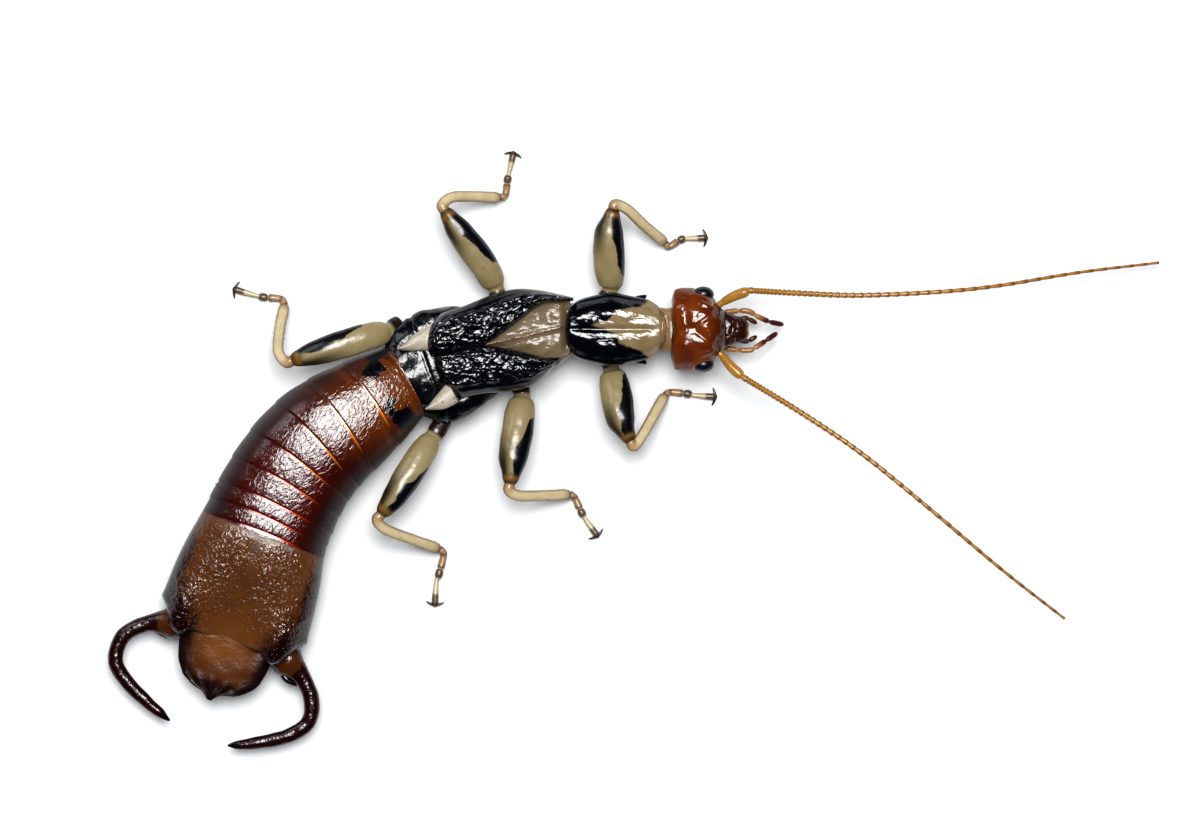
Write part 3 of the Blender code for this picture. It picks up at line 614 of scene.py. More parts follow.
# %% Finish of the wing cases
def wing_case_finish(name, turn):
    f = Finish(name)
    outer = f.mark("outer")
    leather = f.fade(outer, 0.86, 0.7)
    where = f.place(turn, (0.7, 1.0, 1.0))
    bent = f.wobble(where, 2.0, 0.4)
    away = f.cells(bent, 3.1)
    swells = f.noise(where, 1.3, 2.0, 0.5)
    height = (swells * 0.08 - away * away * 0.12) * leather
    colour = f.mix(f.fade(outer, 0.965, 0.995), BLACK, (0.05, 0.045, 0.04))
    return f.dress(colour, 0.2, height, Specular_IOR_Level=0.6)


# %% Finish of the pale plate
def pale_plate_finish():
    f = Finish("pale plate")
    where = f.place()
    stains = f.noise(where, 0.9, 3.0)
    colour = f.mix(stains, (0.14, 0.1, 0.055), (0.28, 0.21, 0.13))
    line = f.fade(f.mark("middle"), 0.085, 0.03)
    colour = f.mix(line, colour, (0.11, 0.045, 0.012))
    creases = f.noise(f.place(radians(14), (0.6, 2.0, 1.0)), 1.4, 3.0, 1.0)
    rough = 0.34 - creases * 0.22
    return f.dress(colour, rough, creases * 0.07 + f.noise(where, 7.0) * 0.006,
                   Specular_IOR_Level=0.5)


# %% Finish of the folded wing tips
def wing_tip_finish():
    f = Finish("folded wing")
    where = f.place()
    pleats = f.noise(f.place(radians(-30), (0.4, 5.0, 1.0)), 1.6, 2.0)
    specks = f.fade(f.noise(where, 3.5, 2.0), 0.62, 0.72)
    colour = f.mix(pleats, (0.36, 0.3, 0.21), (0.6, 0.54, 0.44))
    colour = f.mix(specks * 0.6, colour, (0.2, 0.09, 0.03))
    return f.dress(colour, 0.38, pleats * 0.05)


# %% [markdown]
# ### Head, eyes, mouth and feelers
#
# The head is a polished red-brown shell with shallow lumps, which scatter the light into patches.
# It darkens toward the mouth. The eyes are close-set facets of deep blue-black. Feelers and palps
# are amber, with a dark ring before each joint and a pale skin in it; the piece carries where in
# its bead each point lies, so the rings follow the beads exactly.

# %% Finish of the head
def head_finish():
    f = Finish("head shell")
    where = f.place()
    x = f.forward(where)
    cloud = f.noise(where, 0.9, 3.0)
    colour = f.mix(f.fade(cloud, 0.35, 0.7), (0.12, 0.019, 0.003), (0.2, 0.042, 0.005))
    warm = f.fade(x, 3.1, 2.4)
    colour = f.mix(warm * 0.55, colour, (0.2, 0.042, 0.005))
    colour = f.mix(f.fade(x + cloud * 0.8, 4.7, 5.9), colour, (0.04, 0.005, 0.003))
    crown = f.mark("crown")
    swells = f.noise(where, 1.5, 1.5, 0.5)
    height = swells * 0.12 * crown + f.noise(where, 6.0, 2.0) * 0.006
    rough = 0.32 - f.fade(crown, 0.1, 0.6) * 0.18
    return f.dress(colour, rough, height, Specular_IOR_Level=0.55)


# %% Finishes of the mouth and the eyes
def mouth_finish():
    f = Finish("dark mouth")
    where = f.place()
    colour = f.mix(f.noise(where, 1.8, 2.0), (0.01, 0.002, 0.002), (0.055, 0.01, 0.004))
    colour = f.mix(f.mark("pale"), colour, (0.33, 0.2, 0.06))
    return f.dress(colour, 0.2, f.noise(where, 2.2, 2.0, 0.8) * 0.12)


def eye_finish():
    f = Finish("eye")
    facets = f.cells(f.place(), 13.0)
    colour = f.mix(f.fade(facets, 0.2, 0.6), (0.007, 0.014, 0.03), (0.002, 0.004, 0.01))
    return f.dress(colour, 0.26, facets * -0.006)


# %% Finishes of the feelers and the palps
def feeler_finish():
    f = Finish("feeler")
    bead, share = f.mark("bead"), f.mark("share")
    where = f.place()
    amber = f.mix(f.noise(where, 1.2, 2.0), (0.3, 0.125, 0.014), (0.55, 0.27, 0.04))
    amber = f.mix(f.fade(share, 0.1, 1.0) * 0.7, amber, (0.33, 0.14, 0.03))
    ring = f.fade(bead, 0.5, 0.8) * f.fade(bead, 1.0, 0.9)
    colour = f.mix(ring * 0.55, amber, (0.075, 0.018, 0.003))
    return f.dress(colour, 0.22, f.noise(where, 4.0) * 0.02)


def palp_finish():
    f = Finish("palp")
    share, bead = f.mark("share"), f.mark("bead")
    where = f.place()
    colour = f.mix(f.fade(share, 0.55, 0.68), (0.36, 0.16, 0.04), (0.075, 0.011, 0.004))
    colour = f.mix(f.fade(bead, 0.93, 1.0), colour, (0.6, 0.42, 0.2))
    return f.dress(colour, 0.25, f.noise(where, 6.0) * 0.008)


# %% [markdown]
# ### Body, hind body and tail
#
# Under the wing cases the body is black and glossy. The hind body is like thick varnish, amber at
# the front and wine red behind. Painted light keeps it amber along the middle, where light would
# get through, and painted shade darkens the sides to nearly black over their own darker tone. Each
# back plate ends in a thin bright line of painted light, where its thin rear edge lets light
# through.
# Around the bright band the shell is crossed by short slanting wrinkles.

# %% Finish of the body under the wings
def body_finish():
    f = Finish("black body")
    where = f.place()
    patches = f.fade(f.noise(where, 0.8, 3.0), 0.62, 0.74)
    colour = f.mix(patches * 0.5, BLACK, (0.05, 0.028, 0.012))
    colour = f.mix(f.mark("pale"), colour, (0.28, 0.2, 0.1))
    wrinkles = f.noise(where, 1.5, 3.0, 0.6)
    return f.dress(colour, 0.2, wrinkles * 0.07, Specular_IOR_Level=0.55)


# %% Finish of the hind body
def hind_body_finish():
    f = Finish("hind body")
    where = f.place()
    along, across, behind = f.mark("along"), f.mark("across"), f.mark("behind")
    off = f.math("ABSOLUTE", across)
    cloud = f.noise(where, 0.7, 3.0)
    front = f.fade(along + cloud * 1.5, 8.5, 0.5)
    # Painted light and shade: a lit amber middle and darker shaded sides, both from front to rear
    # tone.
    middle = f.mix(front, (0.075, 0.006, 0.002), (0.15, 0.038, 0.002))
    edge = f.mix(front, (0.016, 0.001, 0.002), (0.06, 0.01, 0.002))
    colour = f.mix(f.fade(off + (cloud - 0.5) * 0.5, 0.3, 0.95), middle, edge)
    ghost = f.fade(behind, 0.75, 0.55) * f.fade(behind, 0.2, 0.35)
    colour = f.mix(ghost * f.fade(off, 0.35, 0.6) * front * 0.3, colour, (0.24, 0.06, 0.008))
    # Painted light: a thin bright line at each rear edge near the middle, where the thin edge lets
    # light through.
    line = f.fade(behind, 0.2, 0.08) * f.fade(along, 0.9, 1.6) * f.fade(across, -0.45, 0.0)
    glow = f.mix(f.fade(along, 5.0, 12.0), (0.75, 0.22, 0.008), (0.65, 0.045, 0.004))
    colour = f.mix(line * f.fade(across, 0.7, 0.2), colour, glow)
    blots = f.mark("blot") + (f.noise(where, 2.2, 3.0) - 0.5) * 0.9
    colour = f.mix(f.fade(blots, -0.06, 0.06), colour, BLACK)
    creases = f.noise(f.place(radians(-52), (1.2, 2.3, 1.0)), 2.1, 2.0, 0.8)
    patch = f.fade(off, 0.85, 0.5) * f.fade(behind, 0.0, 0.3)
    height = f.fade(creases, 0.25, 0.75) * patch * 0.016
    rough = 0.17 + f.fade(off, 0.55, 0.9) * 0.33
    return f.dress(colour, rough, height, Specular_IOR_Level=0.65)


# %% Finishes of the last back plate, the end plate and the forceps
def grained_finish(name, inner, shine):
    f = Finish(name)
    where = f.place()
    edge = f.mark("edge") + (f.noise(where, 2.0, 3.0) - 0.5) * 0.6
    cloud = f.noise(where, 0.8, 3.0)
    colour = f.mix(cloud, inner[0], inner[1])
    golden = f.mix(cloud, (0.12, 0.036, 0.004), (0.26, 0.088, 0.009))
    colour = f.mix(f.mark("warm"), colour, golden)
    colour = f.mix(f.mark("middle") * 0.45, colour, (0.06, 0.022, 0.006))
    colour = f.mix(f.fade(edge, 1.0, 0.4), colour, (0.014, 0.0018, 0.0022))
    grain = f.noise(f.place(radians(-20), (1.0, 0.75, 1.0)), 4.4, 1.0, 0.7)
    fine = f.noise(where, 6.0, 2.0)
    height = grain * 0.16 * f.mark("grain") + fine * 0.02
    rough = 0.36 - f.fade(f.mark("grain"), 0.0, 0.6) * 0.19
    return f.dress(colour, rough, height, Specular_IOR_Level=shine)


def forceps_finish():
    f = Finish("forceps")
    where = f.place()
    colour = f.mix(f.noise(where, 1.5, 3.0), (0.008, 0.0008, 0.002), (0.03, 0.002, 0.004))
    root = f.mark("root") + (f.noise(where, 2.0, 3.0) - 0.5) * 0.4
    colour = f.mix(f.fade(root, 0.35, 0.6), colour, (0.085, 0.024, 0.004))
    colour = f.mix(f.fade(f.mark("share"), 0.9, 0.97), colour, (0.003, 0.0015, 0.002))
    height = f.noise(where, 4.5, 2.0) * 0.035
    return f.dress(colour, 0.2, height, Specular_IOR_Level=0.6)


# %% [markdown]
# ### Legs and hairs
#
# A thigh is a waxy cream shell with a hard-edged black patch on the side that faces the shin, a
# soft smoke on the other side near the knee and an amber spot on the knee itself. Shins and feet
# are straw, with brown edges and dark joints. Claws and hairs are the same dark horn.

# %% Finishes of the legs
def thigh_finish():
    f = Finish("thigh")
    where = f.place()
    dark = f.mark("dark") + (f.noise(where, 2.0, 3.0) - 0.5) * 0.22
    cream = f.mix(f.noise(where, 1.0, 3.0), (0.24, 0.185, 0.085), (0.4, 0.32, 0.17))
    specks = f.fade(f.noise(where, 5.5, 1.0), 0.7, 0.76)
    colour = f.mix(specks * 0.7, cream, (0.1, 0.05, 0.02))
    colour = f.mix(f.mark("smoke"), colour, (0.016, 0.011, 0.006))
    colour = f.mix(f.fade(dark, -0.05, 0.05), colour, BLACK)
    colour = f.mix(f.mark("knee"), colour, (0.22, 0.1, 0.014))
    colour = f.mix(f.mark("root"), colour, (0.02, 0.009, 0.006))
    return f.dress(colour, 0.27, f.noise(where, 1.6, 2.0) * 0.04, Specular_IOR_Level=0.5)


def shin_finish():
    f = Finish("shin and foot")
    where = f.place()
    off = f.math("ABSOLUTE", f.mark("across"))
    straw = f.mix(f.noise(where, 1.3, 3.0), (0.52, 0.4, 0.21), (0.76, 0.64, 0.41))
    colour = f.mix(f.fade(off, 0.5, 0.95) * 0.85, straw, (0.24, 0.11, 0.03))
    colour = f.mix(f.mark("brown"), colour, (0.26, 0.1, 0.02))
    colour = f.mix(f.mark("dark"), colour, (0.045, 0.013, 0.004))
    return f.dress(colour, 0.26, f.noise(where, 2.2, 2.0) * 0.03)


def horn_finish():
    f = Finish("dark horn")
    where = f.place()
    colour = f.mix(f.noise(where, 2.0), (0.02, 0.009, 0.006), (0.06, 0.022, 0.01))
    return f.dress(colour, 0.24, f.noise(where, 5.0) * 0.006)


def prothorax_finish():
    f = Finish("front body")
    where = f.place()
    colour = f.mix(f.noise(where, 1.4, 3.0), (0.22, 0.11, 0.04), (0.46, 0.3, 0.15))
    colour = f.mix(f.fade(f.forward(where), 0.3, -0.6), colour, (0.012, 0.01, 0.01))
    colour = f.mix(f.mark("thorn"), colour, BLACK)
    return f.dress(colour, 0.25, f.noise(where, 2.5, 3.0) * 0.06)


FINISHES = {
    "shield": shield_finish(), "case_left": wing_case_finish("left wing case", radians(-22)),
    "case_right": wing_case_finish("right wing case", radians(-2)), "pale": pale_plate_finish(),
    "wing": wing_tip_finish(), "head": head_finish(), "mouth": mouth_finish(),
    "eye": eye_finish(), "feeler": feeler_finish(), "palp": palp_finish(), "body": body_finish(),
    "hind": hind_body_finish(), "forceps": forceps_finish(), "thigh": thigh_finish(),
    "last": grained_finish("last back plate", ((0.085, 0.027, 0.007), (0.16, 0.056, 0.014)), 0.55),
    "end": grained_finish("end plate", ((0.045, 0.01, 0.002), (0.11, 0.028, 0.004)), 0.2),
    "shin": shin_finish(), "horn": horn_finish(), "front_body": prothorax_finish(),
}
print("finishes:", len(FINISHES))


# %% [markdown]
# ## The head
#
# Seen from above the head is a broad heart, widest behind the eyes, with a forked seam that parts
# two swellings. It is a stack of ovals whose width and height follow smooth curves, then pushed
# in along the seam and out over the swellings. Sculpting would do it too, but a rule for each
# swelling keeps both sides alike and can be read and changed.

# %% Head shell
AXIS = 7.25  # the middle line of head and shield
SIDES = {"left": 1, "right": -1}
HEAD_BACK, HEAD_FRONT = 2.15, 5.5
HEAD_MIDDLE = 2.75
EYE_RADII = np.array([0.64, 0.48, 0.58])


def eye_centre(sign):
    return np.array([4.12, AXIS + sign * 2.1, 3.0])


def head_relief(rows):
    x, off, z = rows[..., 0], np.abs(rows[..., 1] - AXIS), rows[..., 2]
    on_top = ramp(z, HEAD_MIDDLE + 0.3, HEAD_MIDDLE + 0.9)
    fork = 0.1 + np.maximum(x - 3.6, 0) * 0.75
    relief = -0.1 * bell(off, fork, 0.16) * on_top
    relief += 0.11 * bell(off, 1.15, 0.65) * bell(x, 2.85, 0.55) * on_top
    relief += 0.1 * bell(off, 0.0, 0.75) * bell(x, 4.45, 0.45) * on_top
    relief += 0.09 * bell(off, 1.55 - (x - 3.95) * 0.37, 0.12) * bell(x, 4.4, 0.55) * on_top
    relief -= 0.12 * bell(off, 1.5, 0.25) * bell(x, 5.15, 0.3) * on_top
    for sign in (1, -1):
        away = np.linalg.norm((rows - eye_centre(sign)) / EYE_RADII, axis=-1)
        relief += 0.03 * bell(away, 1.32, 0.12) - 0.04 * bell(away, 1.1, 0.1)
    return relief + lumps(rows, 0.75) * 0.035


def make_head():
    line = Track([(HEAD_BACK, AXIS, HEAD_MIDDLE), (HEAD_FRONT, AXIS, HEAD_MIDDLE)])
    places = stations(0.0, HEAD_FRONT - HEAD_BACK, 130)
    x = places + HEAD_BACK
    half = eased([(HEAD_BACK, 2.2), (2.4, 2.4), (2.9, 2.5), (4.0, 2.36), (4.5, 2.14), (4.9, 1.6),
                  (5.3, 1.2), (HEAD_FRONT, 1.08)])(x)
    up = eased([(HEAD_BACK, 1.1), (2.6, 1.32), (3.3, 1.54), (3.9, 1.62), (4.5, 1.58), (5.0, 1.34),
                (5.3, 1.08), (HEAD_FRONT, 0.85)])(x)
    down = eased([(HEAD_BACK, 1.0), (2.7, 1.25), (4.0, 1.48), (5.3, 1.45), (HEAD_FRONT, 1.3)])(x)
    share = rounding(places, 0.3, 0.12) ** 0.8
    rows = sections(line, places, half * share, up * share, down * share, around=150, power=2.25)
    rows = raise_by(rows, head_relief(rows))
    rows[..., 0] += 0.09 * bell(rows[..., 1], AXIS, 0.9) * ramp(rows[..., 0], 2.9, 2.1)
    crown = ramp(rows[..., 2], 3.3, 3.9) * bell(rows[..., 1], AXIS + 0.55, 1.6)
    return skin("head_shell", rows, crown=crown)


settle(make_head(), FINISHES["head"], "head_shell", "head")


# %% Eyes
def ball(name, centre, radii, around=48, count=40):
    turn = np.linspace(0.02, pi - 0.02, count)
    line = Track([centre - (radii[0], 0, 0), centre + (radii[0], 0, 0)])
    size = np.sin(turn)
    rows = sections(line, radii[0] * (1 - np.cos(turn)), radii[1] * size, radii[2] * size,
                    radii[2] * size, around)
    return skin(name, rows)


for side, sign in SIDES.items():
    settle(ball(f"eye_{side}_lens", eye_centre(sign), EYE_RADII), FINISHES["eye"], "eye",
           f"eye_{side}")

# %% [markdown]
# ### Mouth parts
#
# In front of the head lie the face plate and the upper lip, two stout jaws below them and two
# pairs of palps, which are small jointed feelers. Each palp swells between its joints. One helper
# makes every such limb, because they differ only in their line and their widths.

# %% A limb along a line
def limb(name, track, widths, material, slot, *nodes, thick=1.0, around=28, count=90, start=0.0,
         end=None, rounds=(0.2, 0.2), floor=None, marks=None, relief=None):
    places = stations(start, track.length if end is None else end, count)
    half = eased(widths)(places) / 2 * rounding(places, *rounds)
    rows = sections(track, places, half, half * thick, half * thick, around)
    if relief is not None:
        rows = raise_by(rows, relief(rows, places))
    if floor is not None:
        rows[..., 2] = np.maximum(rows[..., 2], floor)
    across, rise = oval(around)
    given = {"share": (places / track.length)[:, None], "across": across[None]}
    if marks is not None:
        given.update(marks(rows, places[:, None], across[None], rise[None]))
    return settle(skin(name, rows, **given), material, slot, *nodes)


def bulged(joints, full, narrow):
    """Widths of a limb of several lengths, narrow at each joint."""
    keys = [(joints[0], narrow)]
    for a, b in zip(joints, joints[1:]):
        keys += [(a + (b - a) * 0.3, full), (b - 0.1, full), (b, narrow)]
    return keys


def fixed(**marks):
    """Marks that are the same all over a limb."""
    return lambda rows, places, across, rise: marks


def beads(places, joints):
    """Where each place lies in its length between joints, from 0 to 1."""
    k = stretch_of(places, joints)
    joints = np.asarray(joints)
    return np.clip((places - joints[k]) / (joints[k + 1] - joints[k]), 0, 1)


# %% Face plate, lip and jaws
def make_lip():
    line = Track([(5.2, AXIS, 2.8), (6.9, AXIS, 2.6)])
    places = stations(0.0, line.length, 70)
    half = eased([(0.0, 1.2), (0.4, 1.02), (0.9, 0.86), (1.35, 0.68), (1.7, 0.4)])(places)
    up = eased([(0.0, 0.6), (0.6, 0.58), (1.2, 0.42), (1.7, 0.28)])(places)
    down = np.full_like(places, 0.14)
    share = rounding(places, 0.05, 0.2) ** 0.7
    rows = sections(line, places, half * share, up * share, down * share, around=72, power=2.4)
    x, off = rows[..., 0], np.abs(rows[..., 1] - AXIS)
    relief = -0.05 * bell(x, 6.1, 0.11) - 0.08 * bell(off, 0.0, 0.18) * ramp(x, 6.1, 6.8)
    relief += 0.05 * bell(off, 0.45, 0.22) * bell(x, 5.75, 0.25)
    return skin("lip", raise_by(rows, relief), pale=0.4 * ramp(x, 6.62, 6.82))


settle(make_lip(), FINISHES["mouth"], "dark_mouth", "labrum")
for side, sign in SIDES.items():
    line = Track([(5.3, AXIS + sign * 0.52, 2.02), (6.3, AXIS + sign * 0.46, 2.02),
                  (6.75, AXIS + sign * 0.24, 2.02)])
    limb(f"jaw_{side}", line, [(0.0, 0.6), (0.8, 0.58), (1.2, 0.4), (line.length, 0.2)],
         FINISHES["mouth"], "dark_mouth", f"mandible_{side}", thick=0.75, rounds=(0.1, 0.12),
         marks=fixed(pale=0.0))

# %% Palps
PALPS = {
    "maxillary_palp_left": [(5.35, 8.3, 2.0), (6.7, 8.38, 2.15), (7.45, 8.02, 2.0),
                            (8.1, 7.74, 1.7), (9.0, 7.55, 1.2)],
    "maxillary_palp_right": [(5.35, 6.12, 2.0), (6.8, 6.0, 2.15), (7.3, 6.2, 2.05),
                             (7.95, 6.62, 1.7), (8.62, 7.08, 1.25)],
    "labial_palp_left": [(5.45, AXIS + 0.35, 1.5), (6.5, AXIS + 0.68, 1.3),
                         (6.95, AXIS + 0.62, 1.25), (7.4, AXIS + 0.36, 1.2)],
    "labial_palp_right": [(5.45, AXIS - 0.35, 1.5), (6.5, AXIS - 0.68, 1.3),
                          (6.95, AXIS - 0.62, 1.25), (7.4, AXIS - 0.36, 1.2)],
}


def palp_marks(joints, dark):
    def marks(rows, places, across, rise):
        return {"bead": beads(places, joints), "share": np.clip(places / joints[-1] + dark, 0, 1)}
    return marks


for name, route in PALPS.items():
    line = Track(route)
    upper = name.startswith("max")
    shares = (0.0, 0.22, 0.48, 0.73, 1.0) if upper else (0.0, 0.4, 0.72, 1.0)
    joints = [line.length * share for share in shares]
    limb(f"{name}_fine", line, bulged(joints, 0.33 if upper else 0.3, 0.2),
         FINISHES["palp"], "feeler" if upper else "dark_mouth", name, rounds=(0.05, 0.35),
         marks=palp_marks(joints, 0.0 if upper else 0.5))

# %% [markdown]
# ### Feelers
#
# A feeler is a stout first joint and then a whip of some sixty beads, very short near the head and
# five times as long at the tip, each a little wider at its far end. The rule gives the joints; the
# tube tree grows the whip along its line in one closed piece, so no gap shows where the solids of
# the frame meet.

# %% Feelers
def bead_joints(length):
    step = eased([(0.0, 0.15), (3.0, 0.34), (9.0, 0.6), (15.0, 0.8), (27.0, 0.86)])
    joints = [-0.3, 0.2]
    while joints[-1] < length:
        joints.append(joints[-1] + float(step(joints[-1])))
    return joints


FEELER_ROOTS = {
    "left": [(4.85, 8.55, 2.9), (5.3, 8.88, 3.0), (5.95, 9.24, 3.15), (6.85, 9.56, 3.32)],
    "right": [(4.85, 6.0, 2.9), (5.3, 5.62, 3.0), (5.8, 5.0, 3.15), (6.46, 4.4, 3.28)],
}
WHIPS = {
    "left": [(6.93, 9.58, 3.35), (9.93, 9.4, 3.6), (13.53, 9.28, 3.6), (18.3, 9.5, 3.2),
             (22.0, 9.9, 2.6), (26.8, 10.7, 1.7), (31.6, 11.3, 0.9)],
    "right": [(6.6, 4.32, 3.3), (9.93, 2.28, 3.6), (13.53, -0.15, 3.7), (17.73, -3.55, 3.5),
              (21.95, -7.1, 3.1), (25.8, -10.1, 2.7)],
}


def make_whip(side):
    line = Track(WHIPS[side])
    joints = bead_joints(line.length)
    places = np.linspace(joints[0], line.length, 1500)
    bead = beads(places, joints)
    full = eased([(-0.3, 0.2), (3.0, 0.19), (12.0, 0.145), (27.0, 0.08)])(places)
    half = full * (0.8 + 0.2 * ramp(bead, 0.0, 0.7) - 0.2 * ramp(bead, 0.9, 1.0))
    whip = grow(f"feeler_{side}_whip", line.at(places), half, half, half, FINISHES["feeler"],
                sides=12)
    place = joints[0] + mark_of(whip, "share") * (line.length - joints[0])
    write_mark(whip, "bead", beads(place, joints))
    print("beads:", len(joints) - 1)
    return whip


for side in ("left", "right"):
    line = Track(FEELER_ROOTS[side])
    widths = [(0.0, 0.4), (0.5, 0.4), (0.75, 0.52), (line.length - 0.4, 0.64), (line.length, 0.5)]
    limb(f"feeler_{side}_root", line, widths, FINISHES["feeler"], "feeler",
         f"antenna_{side}_scape", rounds=(0.1, 0.15), marks=fixed(bead=0.3, share=0.0))
    settle(make_whip(side), None, "feeler", *[f"antenna_{side}_{k}" for k in (1, 2, 3)])

# %% [markdown]
# ## The front shield
#
# The shield is a long rounded plate with two swellings beside a middle groove and a thin turned-up
# rim. A plate here is a vault: its top follows a rule of place, and its rim rolls down to the body
# at the sides. The tan patch is an outline read off the picture.

# %% Front shield
SHIELD_HALF = eased([(-4.05, 1.0), (-3.9, 1.32), (-3.3, 1.78), (-2.3, 2.06), (-1.45, 2.22),
                     (-0.3, 2.02), (0.8, 1.78), (1.3, 1.5), (1.62, 1.14), (1.85, 0.7)])
TAN_PATCH = spots((653, 297), (641, 307), (626, 309), (616, 311), (611, 317), (606, 322),
                  (592, 325), (607, 329), (616, 334), (619, 342), (628, 347), (640, 350),
                  (652, 360), (700, 370), (700, 290))


def shield_height(u, v, xy):
    off = np.abs(2 * v - 1)
    dome = 0.62 * (1 - off ** 2.4)
    lobe = (0.25 - 0.1 * (v > 0.5)) * bell(off, 0.58, 0.3) * bell(u, 0.5, 0.36)
    groove = 0.13 * bell(off, 0.0, 0.07) * ramp(u, 0.12, 0.3) * ramp(u, 0.97, 0.8)
    rim = 0.07 * bell(off, 0.95, 0.05) + 0.06 * bell(u, 0.035, 0.02) - 0.05 * bell(u, 0.085, 0.02)
    return 0.58 + dome + lobe - groove + rim


def make_shield():
    x = np.linspace(1.85, -4.05, 40)
    half = SHIELD_HALF(x)
    left, right = (np.stack([x, AXIS + sign * half], -1) for sign in (1, -1))
    rows, u, v = plate(left.tolist(), right.tolist(), 3.15, shield_height, rows=150,
                       columns=70, ends=(0.05, 0.09))
    top = ramp(rows[..., 2], 3.6, 4.0)
    off = np.abs(2 * v - 1)
    lobe = bell(off, 0.35, 0.4) * ramp(u, 0.05, 0.2) * ramp(u, 1.0, 0.8)
    rows[..., 2] += lumps(rows, 0.55, 3.0) * 0.035 * top * lobe
    bow = 0.12 * (1 - off ** 2)
    rows[..., 0] += bow * (ramp(u, 0.25, 0.0) - 1.3 * ramp(u, 0.8, 1.0))
    return skin("front_shield", rows, tan=within(rows[..., :2], TAN_PATCH), lobe=lobe * top)


settle(make_shield(), FINISHES["shield"], "black_shell", "pronotum")


# %% Neck skin and front body
def make_front_body():
    line = Track([(2.45, AXIS, 2.45), (1.2, AXIS, 2.35), (0.2, AXIS, 2.1), (-1.5, AXIS, 2.1),
                  (-4.2, AXIS + 0.1, 2.1)])
    places = stations(0.0, line.length, 110)
    half = eased([(0.0, 1.25), (0.9, 1.3), (1.6, 1.3), (2.3, 1.45), (4.5, 1.55), (6.65, 1.5)])
    up = eased([(0.0, 0.45), (0.9, 0.5), (1.8, 0.8), (2.6, 0.98), (6.65, 1.02)])
    down = eased([(0.0, 0.65), (0.9, 0.72), (1.8, 0.9), (2.6, 0.98), (6.65, 0.98)])
    rows = sections(line, places, half(places), up(places), down(places), around=72, power=2.6)
    folds = 0.03 * np.sin(places * 9) * ramp(places, 2.2, 1.4)
    rows = raise_by(rows, lumps(rows, 0.8, 5.0) * 0.05 + folds[:, None])
    return skin("front_body", rows, thorn=0.0)


settle(make_front_body(), FINISHES["front_body"], "membrane", "prothorax", "neck")
for side, sign in SIDES.items():
    line = Track([(-0.4, AXIS + sign * 1.1, 2.6), (0.2, AXIS + sign * 1.7, 2.74),
                  (0.72, AXIS + sign * 2.05, 2.82)])
    limb(f"thorn_{side}", line, [(0.0, 0.8), (line.length * 0.6, 0.62), (line.length, 0.12)],
         FINISHES["front_body"], "membrane", rounds=(0.1, 0.06), marks=fixed(thorn=1.0))

# %% [markdown]
# ## Body, wing cases and wings
#
# The middle of the body bends to the animal's right, and one line through it carries everything
# from here to the tail. The body under the wings is one skin over both of its solids. The wing
# cases lie on it as two leaves that meet behind the pale plate; their outer rim folds down along
# the side of the body. The tips of the folded hind wings look out behind them.

# %% Body under the wings
BODY_LINE = [(-4.1, 7.3), (-6.0, 6.9), (-8.6, 6.15), (-11.2, 5.25), (-13.65, 4.25),
             (-16.5, 2.3), (-19.3, 0.2), (-21.2, -2.6), (-22.2, -4.85), (-23.15, -7.5),
             (-24.1, -10.35)]
WAIST = 10.05
BODY_MIDDLE = 2.1


def make_body():
    line = Track(BODY_LINE, BODY_MIDDLE)
    places = stations(-0.25, WAIST + 0.25, 170)
    half = eased([(-0.25, 1.5), (1.0, 2.15), (3.0, 2.45), (4.6, 2.6), (6.5, 3.25), (8.0, 3.55),
                  (9.2, 3.25), (WAIST + 0.25, 2.5)])(places)
    up = eased([(-0.25, 1.25), (1.0, 1.4), (WAIST, 1.4), (WAIST + 0.25, 1.45)])(places)
    down = np.full_like(places, 1.0)
    shape = {"around": 110, "power": 2.7}
    rows = sections(line, places, half, up, down, **shape)
    across, rise = oval(**shape)
    on_top = ramp(rise, 0.4, 0.9)[None]
    keel = 0.22 * bell(across, 0.0, 0.3)[None] * ramp(places, 7.0, 8.2)[:, None] * on_top
    seams = sum(0.1 * bell(places, place, 0.12) for place in (4.75, 8.6))[:, None]
    folds = 0.09 * bell(across, 0.62, 0.1)[None] + 0.09 * bell(across, -0.62, 0.1)[None]
    relief = keel - seams * (1 - on_top * 0.5) - folds * on_top
    rows = raise_by(rows, relief - 0.02 + lumps(rows, 0.8, 9.0) * 0.05)
    pale = ramp(places, 0.9, 0.5)[:, None] * np.ones_like(across)[None]
    return skin("body_under_wings", rows, pale=pale)


settle(make_body(), FINISHES["body"], "black_shell", "mesothorax", "metathorax")

# %% Wing cases
CASE_SIDES = {
    "left": ([(-3.65, 9.14), (-4.35, 9.32), (-5.7, 9.6), (-7.2, 9.66), (-8.7, 9.25),
              (-10.3, 8.62), (-11.6, 8.2)],
             [(-3.65, 8.94), (-4.35, 8.9), (-5.7, 8.72), (-7.4, 7.42), (-9.0, 6.25), (-10.6, 5.92),
              (-12.2, 5.62)]),
    "right": ([(-4.7, 5.4), (-5.2, 5.5), (-7.0, 5.96), (-9.0, 6.26), (-10.6, 5.96),
               (-12.0, 5.72)],
              [(-4.7, 5.3), (-5.1, 4.72), (-6.1, 3.9), (-7.4, 3.55), (-8.9, 3.42),
               (-10.4, 3.12)]),
}


